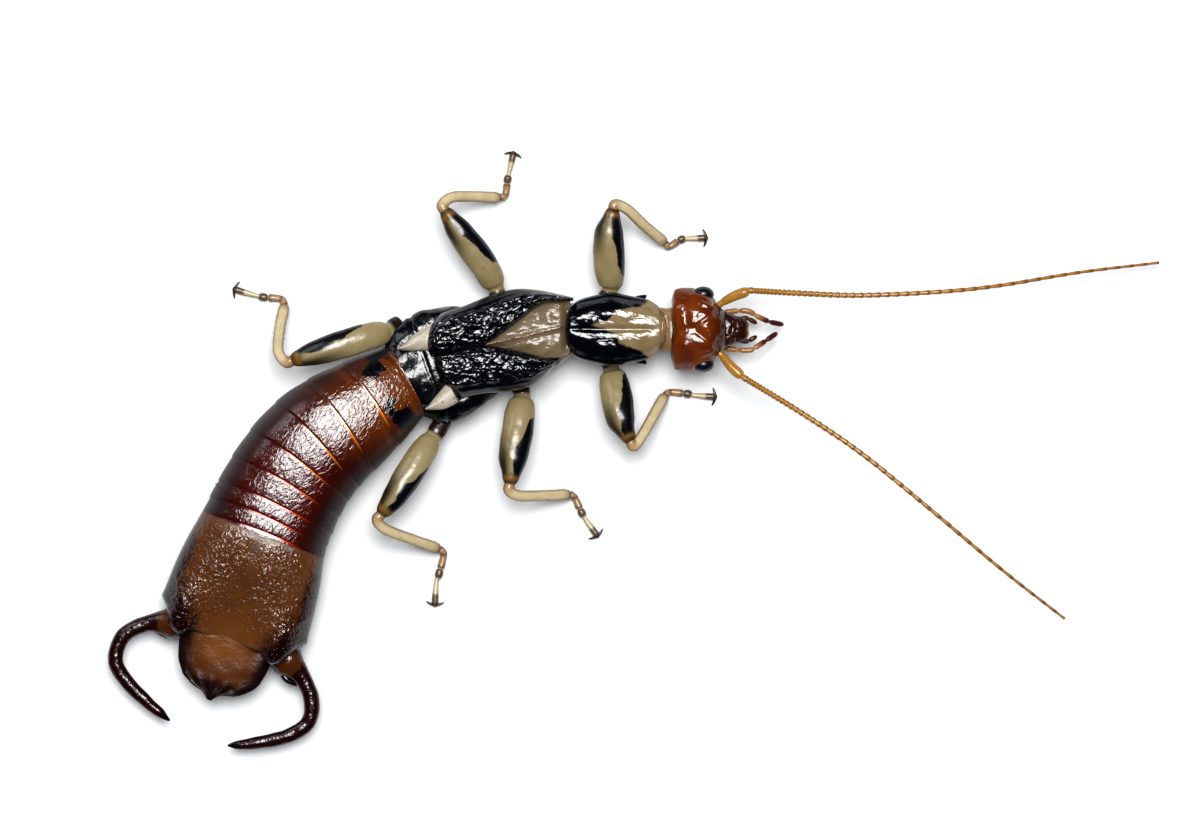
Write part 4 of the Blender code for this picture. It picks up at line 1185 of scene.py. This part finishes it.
def make_wing_case(side):
    def outer(v):
        return 1 - v if side == "left" else v

    def height(u, v, xy):
        o = outer(v)
        return 0.62 + 0.48 * (1 - o ** 2.6) - 0.06 * bell(o, 0.82, 0.05)

    rows, u, v = plate(*CASE_SIDES[side], 3.6, height, rows=170, columns=70, ends=(0.1, 0.07))
    o = outer(v)
    top = ramp(rows[..., 2], 4.1, 4.5)
    veins = np.cos(tau * (v * 3 + u * 0.8)) * ramp(o, 0.85, 0.6)
    rows[..., 2] += (0.025 * veins + 0.05 * lumps(rows, 0.45, 12.0)) * top
    rows[..., 0] -= 0.5 * (1 - (2 * v - 1) ** 2) * ramp(u, 0.75, 1.0)
    rows[..., 2] -= 0.3 * ramp(o, 0.75, 1.05) * ramp(u, 0.0, 0.2)
    return skin(f"wing_case_{side}", rows, outer=o * np.ones_like(u))


for side in ("left", "right"):
    settle(make_wing_case(side), FINISHES[f"case_{side}"], "black_shell", f"tegmen_{side}")


# %% Pale plate
def from_segment(xy, a, b):
    """Distance of places from a straight line between two places."""
    edge = b - a
    t = np.clip(((xy - a) * edge).sum(-1) / (edge ** 2).sum(), 0, 1)
    return np.linalg.norm(xy - (a + t[..., None] * edge), axis=-1)


def make_pale_plate():
    left = [(-3.85, 8.95), (-5.3, 8.98), (-7.3, 7.58), (-9.0, 6.4)]
    right = [(-3.85, 5.75), (-5.3, 5.5), (-7.0, 5.93), (-9.0, 6.2)]
    spine = spots((562, 328), (489, 345))

    def height(u, v, xy):
        ridge = 0.07 * bell(from_segment(xy, *spine), 0, 0.12)
        return 0.48 + 0.24 * (1 - (2 * v - 1) ** 2) + ridge

    rows = plate(left, right, 3.55, height, rows=120, columns=60, ends=(0.06, 0.03))[0]
    away = from_segment(rows[..., :2], *spine)
    top = ramp(rows[..., 2], 3.8, 4.1)
    rows[..., 2] += (0.05 * lumps(rows, 0.6, 15.0) - 0.05 * bell(away, 0.28, 0.12)) * top
    rows[..., 2] -= 0.6 * ramp(rows[..., 0], -4.5, -3.95) * top
    return skin("pale_plate", rows, middle=away)


settle(make_pale_plate(), FINISHES["pale"], "tan_shell", "scutellum")

# %% Folded wing tips
WING_TIPS = {
    "left": ([(-11.9, 7.6), (-13.0, 7.1), (-13.65, 6.5), (-14.2, 6.1)],
             [(-12.1, 6.0), (-13.1, 5.95), (-13.75, 5.96), (-14.22, 6.03)]),
    "right": ([(-11.1, 4.2), (-11.95, 3.2), (-12.3, 2.75), (-12.56, 2.5)],
              [(-10.5, 2.9), (-11.3, 2.5), (-12.0, 2.42), (-12.54, 2.44)]),
}
for side, outlines in WING_TIPS.items():
    rows = plate(*outlines, 3.4, lambda u, v, xy: 0.62 + 0.13 * (1 - (2 * v - 1) ** 2),
                 rows=70, columns=36, ends=(0.05, 0.03))[0]
    settle(skin(f"folded_wing_{side}", rows), FINISHES["wing"], "cream_wing", f"wing_tip_{side}")

# %% [markdown]
# ## The hind body
#
# Eight back plates overlap like roof tiles along the bend. All of them are one tube on the body
# line, so no gap shows between them. The steps come after: every point knows how far along the
# body it lies, and the rule raises each plate a little toward its rear edge and drops at the
# joint. Separate rings would need eight sets of sizes for the same look.

# %% Hind body
BACK_JOINTS = np.array([-0.3, 0.05, 2.4, 4.6, 6.45, 8.1, 9.6, 11.0, 11.95, 12.85, 13.4])
TAIL_END = 18.3
hind_half = eased([(-0.3, 2.15), (0.0, 2.3), (1.5, 2.75), (3.0, 3.1), (4.4, 3.35), (6.5, 3.58),
                   (9.3, 3.7), (12.8, 3.88), (14.8, 4.15), (TAIL_END, 4.6)])
hind_top = eased([(-0.3, 1.6), (0.0, 1.75), (2.5, 2.3), (6.0, 2.65), (12.8, 2.6), (15.5, 2.35),
                  (TAIL_END, 1.7)])
hind_middle = eased([(0.0, 2.35), (6.0, 2.3), (12.8, 2.15), (TAIL_END, 2.0)])
hind_bottom = eased([(0.0, 1.2), (4.0, 1.65), (9.0, 2.15), (14.0, 2.2), (TAIL_END, 1.45)])
BLOTS = (spots((396, 338), (392, 352), (388, 360), (379, 359), (386, 368), (378, 378), (366, 379),
               (362, 371), (368, 362), (364, 354), (360, 340)),
         spots((384, 401), (391, 396), (397, 401), (394, 408), (402, 411), (408, 404), (416, 414),
               (428, 420), (426, 440), (410, 432), (399, 426), (388, 414)))


def make_hind_body():
    line = Track(BODY_LINE)
    places = np.linspace(-0.12, 13.1, 420)
    widest = 1.6  # the line is averaged over this much on each side, so the bend has no kinks
    reach = np.minimum(widest, np.minimum(places - places[0], places[-1] - places))
    points = np.mean([line.at(WAIST + places + reach * k) for k in np.linspace(-1, 1, 9)], axis=0)
    points[:, 2] = hind_middle(places)
    thing = grow("hind_body", points, hind_half(places), hind_top(places), hind_bottom(places),
                 FINISHES["hind"], sides=120, squareness=2.55)
    across, rise = mark_of(thing, "across"), mark_of(thing, "rise")
    spot = points_of(thing)
    spine = np.linalg.norm(np.diff(points, axis=0), axis=1)
    shares = np.concatenate([[0], np.cumsum(spine)]) / spine.sum()
    along = np.interp(mark_of(thing, "share"), shares, places)
    edge = along + 0.16 * (1 - across ** 2) - 0.25 * np.abs(across) ** 3
    k = stretch_of(edge, BACK_JOINTS)
    behind = edge - BACK_JOINTS[k]
    share = behind / (BACK_JOINTS[k + 1] - BACK_JOINTS[k])
    step = -0.05 * ramp(share, 0.85, 0.0) - 0.05 * ramp(share, 0.965, 1.0)
    normals = np.empty(len(spot) * 3, np.float32)
    thing.data.vertex_normals.foreach_get("vector", normals)
    spot += normals.reshape(-1, 3) * step[:, None]
    spot[:, 2] = np.maximum(spot[:, 2], 0.0)
    thing.data.vertices.foreach_set("co", (spot * MM).astype(np.float32).ravel())
    on_top = rise > 0
    blot = np.max([within(spot[:, :2], outline) for outline in BLOTS], axis=0)
    for label, values in (("along", along), ("behind", behind),
                          ("blot", np.where(on_top, blot, -1.0))):
        write_mark(thing, label, values)
    return thing


settle(make_hind_body(), None, "abdomen_shell", *[f"abdomen_{k}" for k in (1, 2, 3, 4)])

# %% [markdown]
# ### The last back plate, the end plate and the forceps
#
# The last plate is broad and square, dull brown and sown with grains that glitter. Its rear
# corners swell over the roots of the forceps. Its middle slopes down into the small end plate,
# which has a notched black rim. The last row of the broad plate is turned inward, so that its rear
# edge lies on the end plate without a gap. The forceps are two stout hooks, broad at the root,
# each with a small dark tooth on its inner side.

# %% Last back plate
def make_last_plate():
    line = Track(BODY_LINE)
    places = np.append(stations(12.9, TAIL_END - 0.02, 150), TAIL_END - 0.02)
    points = line.at(WAIST + places)
    points[:, 2] = hind_middle(places)
    share = (places - places[0]) / (places[-1] - places[0])
    front, rear = rounding(places, 0.12, 0) ** 0.6, rounding(places, 0, 0.3)[:, None]
    around, power = 140, 2.55
    swell = 0.1 * np.sin(pi * np.minimum(share * 1.1, 1.0))
    across, rise = oval(around, power)
    side, top = line.frame(WAIST + places)
    half, tall = (hind_half(places) + swell) * front, (hind_top(places) + swell) * front
    height = np.where(rise > 0, np.outer(tall, rise), np.outer(hind_bottom(places) * front, rise))
    rows = points[:, None] + side[:, None] * np.outer(half, across)[..., None]
    rows[..., 2] += height
    off, on_top = np.abs(across)[None], ramp(rise, 0.15, 0.6)[None]
    u = share[:, None]

    # The rear corners swell and the middle slopes down; the rear closes in height only.
    corner = bell(off, 0.74, 0.2) * bell(u, 0.84, 0.16)
    hollow = bell(off, 0.0, 0.42) * u ** 3
    ridge = bell(u, 0.8 - 0.35 * (off - 0.75), 0.035) * ramp(off, 0.35, 0.6)
    groove = bell(off, 0.0, 0.06) * ramp(u, 0.7, 0.2)
    lift = 0.3 * corner - 1.42 * hollow + 0.06 * ridge - 0.04 * groove
    brim = points[:, None, 2] + np.outer(tall, np.abs(rise)) + lift - 0.4
    rows[..., 2] += (lift + lumps(rows, 1.0, 20.0) * 0.03) * on_top
    rows[..., 2] = brim + (rows[..., 2] - brim) * rear
    rows[..., 2] = np.maximum(rows[..., 2], 0.0)

    # The rear edge reaches back in lobes, and the last row turns inward.
    lobe = eased([(0.0, 0.85), (0.25, 0.8), (0.45, 0.76), (0.62, 1.0), (0.76, 0.84), (0.9, 0.3),
                  (1.0, 0.08)])
    ahead = np.cross(top, side)
    rows += ahead[:, None] * (2.0 * lobe(off) * ramp(u, 0.5, 1.0) ** 1.5)[..., None]
    rows[-1] = points[-1] + (rows[-1] - points[-1]) * 0.75 - ahead[-1] * 2.0

    # The marks: how far inside the dark rim, how thick the grains stand, where it is golden.
    lateral = hind_half(places)[:, None] * (1 - off) * 0.9 + 0.5 * ramp(u, 0.5, 0.05)
    behind = (TAIL_END - places)[:, None] * 0.45 + 1.6 * bell(off, 0.0, 0.42)
    edge = np.where(rise > 0, np.minimum(lateral, behind), 0.0)
    grains = 1.3 * bell(off, 0.36, 0.26) * bell(u, 0.36, 0.32) + 0.5 * bell(off, 0.66, 0.3)
    grains += 0.5 * bell(off, 0.25, 0.4) * bell(u, 0.66, 0.2)
    warm = bell(off, 0.0, 0.38) * ramp(u, 0.72, 1.0)
    return skin("last_back_plate", rows, edge=edge, warm=warm,
                middle=bell(off, 0.0, 0.07) * ramp(u, 0.8, 0.1),
                grain=grains * on_top * ramp(u, 0.02, 0.12))


last_plate = settle(make_last_plate(), FINISHES["last"], "brown_plate", "last_tergite")


# %% End plate
def make_end_plate():
    line = Track([(-23.95, -10.2), (-24.3, -11.1), (-24.75, -12.6), (-25.55, -15.0)], 2.05)
    root = 0.95
    places = stations(0.0, line.length, 110)
    s = places - root
    half = eased([(-1.0, 2.3), (0.0, 2.72), (1.0, 2.85), (2.2, 2.6), (3.0, 2.05), (3.45, 1.4),
                  (3.68, 0.6), (line.length - root, 0.1)])(s)
    up = eased([(-1.0, 0.6), (0.0, 0.6), (0.8, 0.56), (2.6, 0.36), (line.length - root, 0.16)])(s)
    down = eased([(-1.0, 0.35), (2.6, 0.24), (line.length - root, 0.14)])(s)
    shape = {"around": 90, "power": 2.3}
    rows = sections(line, places, half, up, down, **shape)
    across, rise = oval(**shape)
    off = np.abs(across)[None]
    s = s[:, None]
    edge = np.minimum(half[:, None] * (1 - off), 3.55 - s)
    notches = 0.05 * np.sin(across * 15)[None] * ramp(s, 2.4, 3.1)
    dimple = 0.03 * bell(s, 1.0, 0.4) * bell(off, 0.0, 0.3)
    rows = raise_by(rows, notches - np.where(rise > 0, dimple * (off < 1), 0.0)
                    + lumps(rows, 0.7, 31.0) * 0.03)
    warm = bell(off, 0.0, 0.6) * bell(s, 0.9, 1.3)
    return skin("end_plate", rows, edge=np.where(rise > 0, edge, 0.0), middle=0.0, grain=0.1,
                warm=warm)


settle(make_end_plate(), FINISHES["end"], "brown_plate", "pygidium")

# %% Forceps
FORCEPS = {
    "left": [(-27.75, -10.35, 1.6), (-29.4, -10.45, 1.6), (-30.75, -11.2, 1.55),
             (-31.2, -12.7, 1.5), (-30.5, -13.95, 1.45), (-29.2, -15.25, 1.4),
             (-27.95, -16.28, 1.35)],
    "right": [(-20.9, -12.6, 1.6), (-19.95, -13.7, 1.6), (-19.42, -15.1, 1.55),
              (-19.65, -16.4, 1.5), (-20.9, -17.2, 1.45), (-22.8, -17.62, 1.4),
              (-24.5, -17.78, 1.35)],
}


def hook_marks(rows, places, across, rise):
    near = ramp(places, 1.5, 0.3) * ramp(rise, 0.2, 0.7) * ramp(np.abs(across), 0.95, 0.6)
    return {"root": near}


for side, route in FORCEPS.items():
    line = Track(route)
    widths = [(-0.9, 2.0), (0.1, 2.0), (0.8, 1.4), (1.6, 1.0), (2.6, 0.96),
              (line.length * 0.7, 0.84), (line.length - 0.8, 0.6), (line.length, 0.12)]
    limb(f"forceps_{side}_hook", line, widths, FINISHES["forceps"], "forceps", f"forceps_{side}",
         thick=0.8, around=40, count=220, start=-0.9, rounds=(0.2, 0.08), marks=hook_marks,
         relief=lambda rows, places: lumps(rows, 0.6, 40.0) * 0.014)

# %% Teeth at the roots of the forceps
TEETH = {"left": [(-27.1, -11.2, 1.5), (-28.0, -11.15, 1.5), (-28.95, -10.85, 1.5)],
         "right": [(-21.3, -13.1, 1.5), (-20.95, -13.75, 1.5), (-20.3, -14.15, 1.5)]}
for side, route in TEETH.items():
    line = Track(route)
    widths = [(0.0, 0.3), (line.length * 0.5, 0.42), (line.length, 0.16)]
    limb(f"forceps_{side}_tooth", line, widths, FINISHES["forceps"], "forceps", around=20,
         count=40, rounds=(0.1, 0.1), marks=fixed(root=0.0, share=1.0))

# %% [markdown]
# ## Legs
#
# Every leg is a thigh, a shin and a foot of three joints that ends in two claws. Its line is read
# off the picture and rises to the knee, where the picture can't show the height: a walking earwig
# holds its knees about level with its back. The parts run into each other a little, so the joints
# close. Only the feet and the belly of the tail touch the floor.

# %% The lines of the legs, and the outlines of their black patches
LEGS = {
    "front_left": {
        "thigh": [(-1.7, 9.1, 1.95), (-1.45, 9.85, 2.0), (-1.52, 11.3, 2.55), (-1.55, 12.8, 3.0),
                  (-1.3, 14.4, 3.1)],
        "shin": [(-1.12, 14.72, 3.05), (-0.4, 14.42, 2.75), (0.6, 13.5, 1.85), (1.85, 12.5, 0.55)],
        "foot": [(2.08, 12.28), (2.75, 12.68), (3.15, 12.76), (4.3, 12.82)],
        "widest": 1.8,
        "black": [(612, 200), (612, 222), (612, 238), (616, 246), (617, 255), (618, 265),
                  (622, 276), (634, 270), (632, 200)]},
    "front_right": {
        "thigh": [(-1.55, 5.4, 1.95), (-1.35, 4.7, 2.0), (-1.1, 3.4, 2.55), (-0.85, 1.95, 3.0),
                  (-0.3, 0.6, 3.1)],
        "shin": [(-0.02, 0.28, 3.0), (0.5, 0.95, 2.65), (1.15, 2.1, 1.75), (1.85, 3.32, 0.55)],
        "foot": [(2.16, 3.5), (3.2, 3.4), (3.7, 3.3), (4.85, 3.22)],
        "widest": 1.8,
        "black": [(624, 373), (622, 380), (622, 400), (620, 406), (618, 412), (621, 420),
                  (621, 430), (626, 440), (646, 436), (646, 373)]},
    "middle_left": {
        "thigh": [(-8.2, 9.15, 1.9), (-8.4, 9.95, 1.95), (-9.2, 11.35, 2.5), (-10.3, 12.85, 3.0),
                  (-11.35, 14.3, 3.15)],
        "shin": [(-11.5, 14.72, 3.1), (-10.9, 15.18, 2.75), (-9.6, 15.25, 1.75),
                 (-8.1, 15.22, 0.6)],
        "foot": [(-7.78, 15.4), (-7.66, 16.25), (-7.55, 16.8), (-7.3, 17.9)],
        "widest": 1.65,
        "black": [(447, 200), (452, 216), (455, 228), (461, 235), (469, 240), (477, 248),
                  (486, 257), (493, 263), (508, 255), (470, 198)]},
    "middle_right": {
        "thigh": [(-6.85, 3.8, 1.9), (-6.75, 3.2, 1.95), (-6.95, 1.6, 2.5), (-7.25, -0.3, 3.0),
                  (-7.45, -1.95, 3.15)],
        "shin": [(-7.5, -2.4, 3.1), (-6.9, -2.72, 2.75), (-5.4, -2.72, 1.75), (-3.9, -2.66, 0.6)],
        "foot": [(-3.6, -2.85), (-3.2, -3.72), (-2.92, -4.2), (-2.25, -5.15)],
        "widest": 1.8,
        "black": [(536, 417), (530, 419), (526, 430), (521, 440), (515, 448), (513, 456),
                  (514, 470), (516, 490), (532, 492), (546, 450), (546, 417)]},
    "hind_left": {
        "thigh": [(-14.35, 7.42, 2.3), (-14.8, 7.15, 2.7), (-16.2, 6.74, 3.3), (-18.4, 6.06, 3.55),
                  (-20.45, 5.4, 3.4)],
        "shin": [(-20.88, 5.3, 3.3), (-21.35, 5.95, 2.9), (-21.32, 7.3, 1.75),
                 (-21.08, 8.75, 0.6)],
        "foot": [(-21.3, 9.12), (-22.25, 9.22), (-22.9, 9.35), (-24.1, 9.7)],
        "widest": 1.6, "root": 0.5,
        "black": [(281, 357), (300, 354), (319, 352), (326, 349), (332, 345), (336, 341),
                  (344, 339), (351, 333), (363, 326), (360, 312), (280, 340)]},
    "hind_right": {
        "thigh": [(-11.8, 1.25, 1.95), (-12.05, 0.85, 2.1), (-12.95, -0.5, 2.75),
                  (-14.0, -2.2, 3.1), (-15.15, -3.8, 3.15)],
        "shin": [(-15.4, -4.2, 3.1), (-14.9, -4.75, 2.75), (-13.3, -5.38, 1.75),
                 (-11.75, -5.95, 0.6)],
        "foot": [(-11.5, -6.28), (-11.78, -7.45), (-11.95, -8.0), (-12.03, -9.3)],
        "widest": 1.6,
        "black": [(436, 462), (426, 470), (420, 475), (413, 481), (404, 484), (399, 492),
                  (396, 500), (390, 505), (386, 512), (387, 526), (404, 530), (442, 492),
                  (448, 462)]},
}


# %% Thighs
def thigh_marks(line, outline):
    patch = spots(*outline)

    def marks(rows, places, across, rise):
        share = places / line.length
        dark = within(rows[..., :2], patch)
        middle = np.argmin(np.abs(share[:, 0] - 0.6))
        sign = np.sign((dark[middle] * across[0]).sum())
        smoke = 0.95 * ramp(share, 0.42, 0.82) * ramp(-sign * across, 0.0, 0.7)
        smoke = np.maximum(smoke, ramp(share, 0.86, 0.96) * 0.85)
        knee = bell(share, 0.955, 0.03) * ramp(rise, 0.2, 0.8)
        return {"dark": dark, "smoke": smoke, "knee": knee * 0.9, "root": ramp(places, 0.55, 0.3)}
    return marks


def make_thigh(name, spec):
    line = Track(spec["thigh"])
    end, widest = line.length, spec["widest"]
    widths = [(-1.2, 0.9), (0.1, 1.12), (0.42, 1.0), (0.6, 1.02), (0.95, widest * 0.86),
              (1.7, widest * 1.02), (end * 0.5, widest * 1.06), (end * 0.75, widest * 0.96),
              (end - 0.35, 1.02), (end + 0.1, 0.8)]
    limb(f"thigh_{name}", line, widths, FINISHES["thigh"], "thigh", f"leg_{name}_thigh",
         thick=0.72, around=48, count=160, start=-spec.get("root", 1.2), end=end + 0.28,
         rounds=(0.2, 0.6), marks=thigh_marks(line, spec["black"]),
         relief=lambda rows, places: lumps(rows, 0.9, 50.0) * 0.02)


# %% Shins
def shin_marks(rows, places, across, rise):
    share = places / places.max()
    return {"brown": 0.8 * ramp(share, 0.16, 0.0) + 0.5 * ramp(share, 0.85, 0.95),
            "dark": 0.95 * ramp(share, 0.93, 0.99),
            "hair": ramp(share, 0.15, 0.4) * ramp(rows[..., 2], 0.16, 0.3)}


def make_shin(name, spec):
    line = Track([spec["thigh"][-1], *spec["shin"]])
    widths = [(-0.1, 0.62), (0.4, 0.7), (1.0, 0.66), (line.length * 0.6, 0.66),
              (line.length - 0.5, 0.68), (line.length, 0.54)]
    limb(f"shin_{name}", line, widths, FINISHES["shin"], "shin", f"leg_{name}_shin", thick=0.85,
         around=28, count=120, start=-0.1, rounds=(0.25, 0.16), marks=shin_marks)


# %% Feet and claws
FOOT_CENTRE = 0.2


def foot_marks(line):
    def marks(rows, places, across, rise):
        share = places / line.length
        first, short, last = 0.4, 0.57, 0.86
        brown = 0.65 * ramp(share, first + 0.02, first - 0.04)
        dark = 0.7 * bell(share, first - 0.02, 0.025) + 0.85 * ramp(share, first, first + 0.03) \
            * ramp(share, short + 0.01, short - 0.02) + 0.85 * ramp(share, last - 0.06, last)
        return {"brown": brown, "dark": np.clip(dark + 0.6 * bell(share, 0.16, 0.03), 0, 1),
                "hair": ramp(rows[..., 2], 0.16, 0.3)}
    return marks


def make_foot(name, spec):
    line = Track([spec["shin"][-1], *[(x, y, FOOT_CENTRE) for x, y in spec["foot"]]])
    end = line.length
    widths = [(0.0, 0.46), (end * 0.15, 0.4), (end * 0.34, 0.44), (end * 0.38, 0.46),
              (end * 0.405, 0.26), (end * 0.44, 0.44), (end * 0.5, 0.48), (end * 0.55, 0.4),
              (end * 0.58, 0.24), (end * 0.72, 0.3), (end * 0.86, 0.38), (end, 0.4)]
    limb(f"foot_{name}", line, widths, FINISHES["shin"], "shin", f"leg_{name}_foot", thick=1.0,
         around=24, count=130, rounds=(0.12, 0.12), floor=0.0, marks=foot_marks(line))
    side, top = line.frame(end)
    ahead = np.cross(top, side)
    route = [line.at(end) + side * 0.54 * k - ahead * (0.17 * k * k - 0.02) for k in
             (-1.0, -0.8, -0.5, 0.0, 0.5, 0.8, 1.0)]
    claws = Track(route)
    mid = claws.length / 2
    limb(f"claws_{name}", claws, [(0.0, 0.05), (mid * 0.3, 0.12), (mid * 0.75, 0.19), (mid, 0.28),
                                  (mid * 1.25, 0.19), (mid * 1.7, 0.12), (mid * 2, 0.05)],
         FINISHES["horn"], "shin", around=14, count=60, rounds=(0.03, 0.03), floor=0.0)


for name, spec in LEGS.items():
    make_thigh(name, spec)
    make_shin(name, spec)
    make_foot(name, spec)

# %% [markdown]
# ## Grains and hairs
#
# The grains on the last plate and the short hairs of the legs are one small shape repeated many
# times on a surface: Geometry Nodes scatter them. The surface carries how thick they stand, a seed
# fixes where each one falls, and the copies are simple: a grain has eighty faces and a hair six.
# Drawing them as a pattern would be cheaper, but real grains catch the light one by one, and hairs
# must show past the outline.

# %% The scatter tree
def scatter_tree():
    tree, graph, given = tree_with("scatter on a surface", [
        ("Surface", "Geometry"), ("Copy", "Object"), ("Density", "Float"), ("Mark", "String"),
        ("Smallest", "Float"), ("Largest", "Float"), ("Lean", "Float"), ("Seed", "Int"),
        ("Finish", "Material")])
    thick = graph.node("GeometryNodeInputNamedAttribute", {"data_type": "FLOAT"},
                       {"Name": given.out("Mark")})
    points = graph.node("GeometryNodeDistributePointsOnFaces", {"distribute_method": "RANDOM"}, {
        "Mesh": given.out("Surface"), "Density": thick * given.out("Density"),
        "Seed": given.out("Seed")})
    lean = given.out("Lean")
    tilt = graph.node("FunctionNodeRandomValue", {"data_type": "FLOAT_VECTOR"},
                      {0: (-1.0, -1.0, -1.0), 1: (1.0, 1.0, 1.0), "Seed": given.out("Seed")})
    way = graph.vector("ADD", points.out("Normal"), graph.scaled(tilt, lean))
    turned = graph.node("FunctionNodeAlignRotationToVector", {"axis": "Z"}, {"Vector": way})
    copy = graph.node("GeometryNodeObjectInfo", None, {"Object": given.out("Copy")})
    size = graph.node("FunctionNodeRandomValue", {"data_type": "FLOAT"}, {
        "Seed": given.out("Seed")})
    size = given.out("Smallest") + size.out(1) * (given.out("Largest") - given.out("Smallest"))
    placed = graph.node("GeometryNodeInstanceOnPoints", None, {
        "Points": points, "Instance": copy.out("Geometry"), "Rotation": turned, "Scale": size})
    real = graph.node("GeometryNodeRealizeInstances", None, {0: placed})
    smooth = graph.node("GeometryNodeSetShadeSmooth", None, {0: real})
    done = graph.node("GeometryNodeSetMaterial", None,
                      {"Geometry": smooth, "Material": given.out("Finish")})
    close_tree(graph, done)
    return tree


SCATTER = scatter_tree()


def scatter(name, hosts, copy, material, slot, **values):
    """Copies of a small shape on each host, joined into one piece."""
    made = []
    for number, host in enumerate(hosts):
        made.append(solve(add(name, host.data.copy()), SCATTER, Copy=copy, Finish=material,
                          Seed=number, **values))
    with bpy.context.temp_override(active_object=made[0], selected_editable_objects=made):
        bpy.ops.object.join()
    return settle(made[0], None, slot)


# %% Grains
def small_shape(name, kind, **sizes):
    tree, graph, _ = tree_with(name, [("Base", "Geometry")])
    close_tree(graph, graph.node(kind, None, sizes))
    return solve(add(name, bpy.data.meshes.new(name)), tree)


grain = small_shape("grain", "GeometryNodeMeshIcoSphere", Radius=0.06 * MM, Subdivisions=2)
for vertex in grain.data.vertices:
    vertex.co.z *= 0.45
scatter("grains", [last_plate], grain, FINISHES["last"], "brown_plate", Density=20 / MM ** 2,
        Mark="grain", Smallest=0.5, Largest=1.2, Lean=0.3)
bpy.data.objects.remove(grain)

# %% Hairs
hair = small_shape("hair", "GeometryNodeMeshCone", Vertices=4, **{
    "Radius Top": 0.002 * MM, "Radius Bottom": 0.009 * MM, "Depth": 0.13 * MM})
hairy = [bpy.data.objects[f"{part}_{name}"] for name in LEGS for part in ("shin", "foot")]
scatter("leg_hairs", hairy, hair, FINISHES["horn"], "shin", Density=12 / MM ** 2, Mark="hair",
        Smallest=0.6, Largest=1.1, Lean=0.45)
bpy.data.objects.remove(hair)

# %% [markdown]
# ## The floor
#
# The floor is a plain pale sheet, wide enough that its far edge stays out of sight. It isn't part
# of the animal.

# %% Floor
def make_floor():
    f = Finish("floor")
    reach, depth = 0.7, -0.02 * MM
    mesh = bpy.data.meshes.new("floor")
    corners = [(x * reach, y * reach, depth) for x, y in ((-1, -1), (1, -1), (1, 1), (-1, 1))]
    mesh.from_pydata(corners, [], [(0, 1, 2, 3)])
    mesh.materials.append(f.dress((0.98, 0.98, 0.98), 0.7, Specular_IOR_Level=0.1))
    floor = add("floor", mesh)


make_floor()
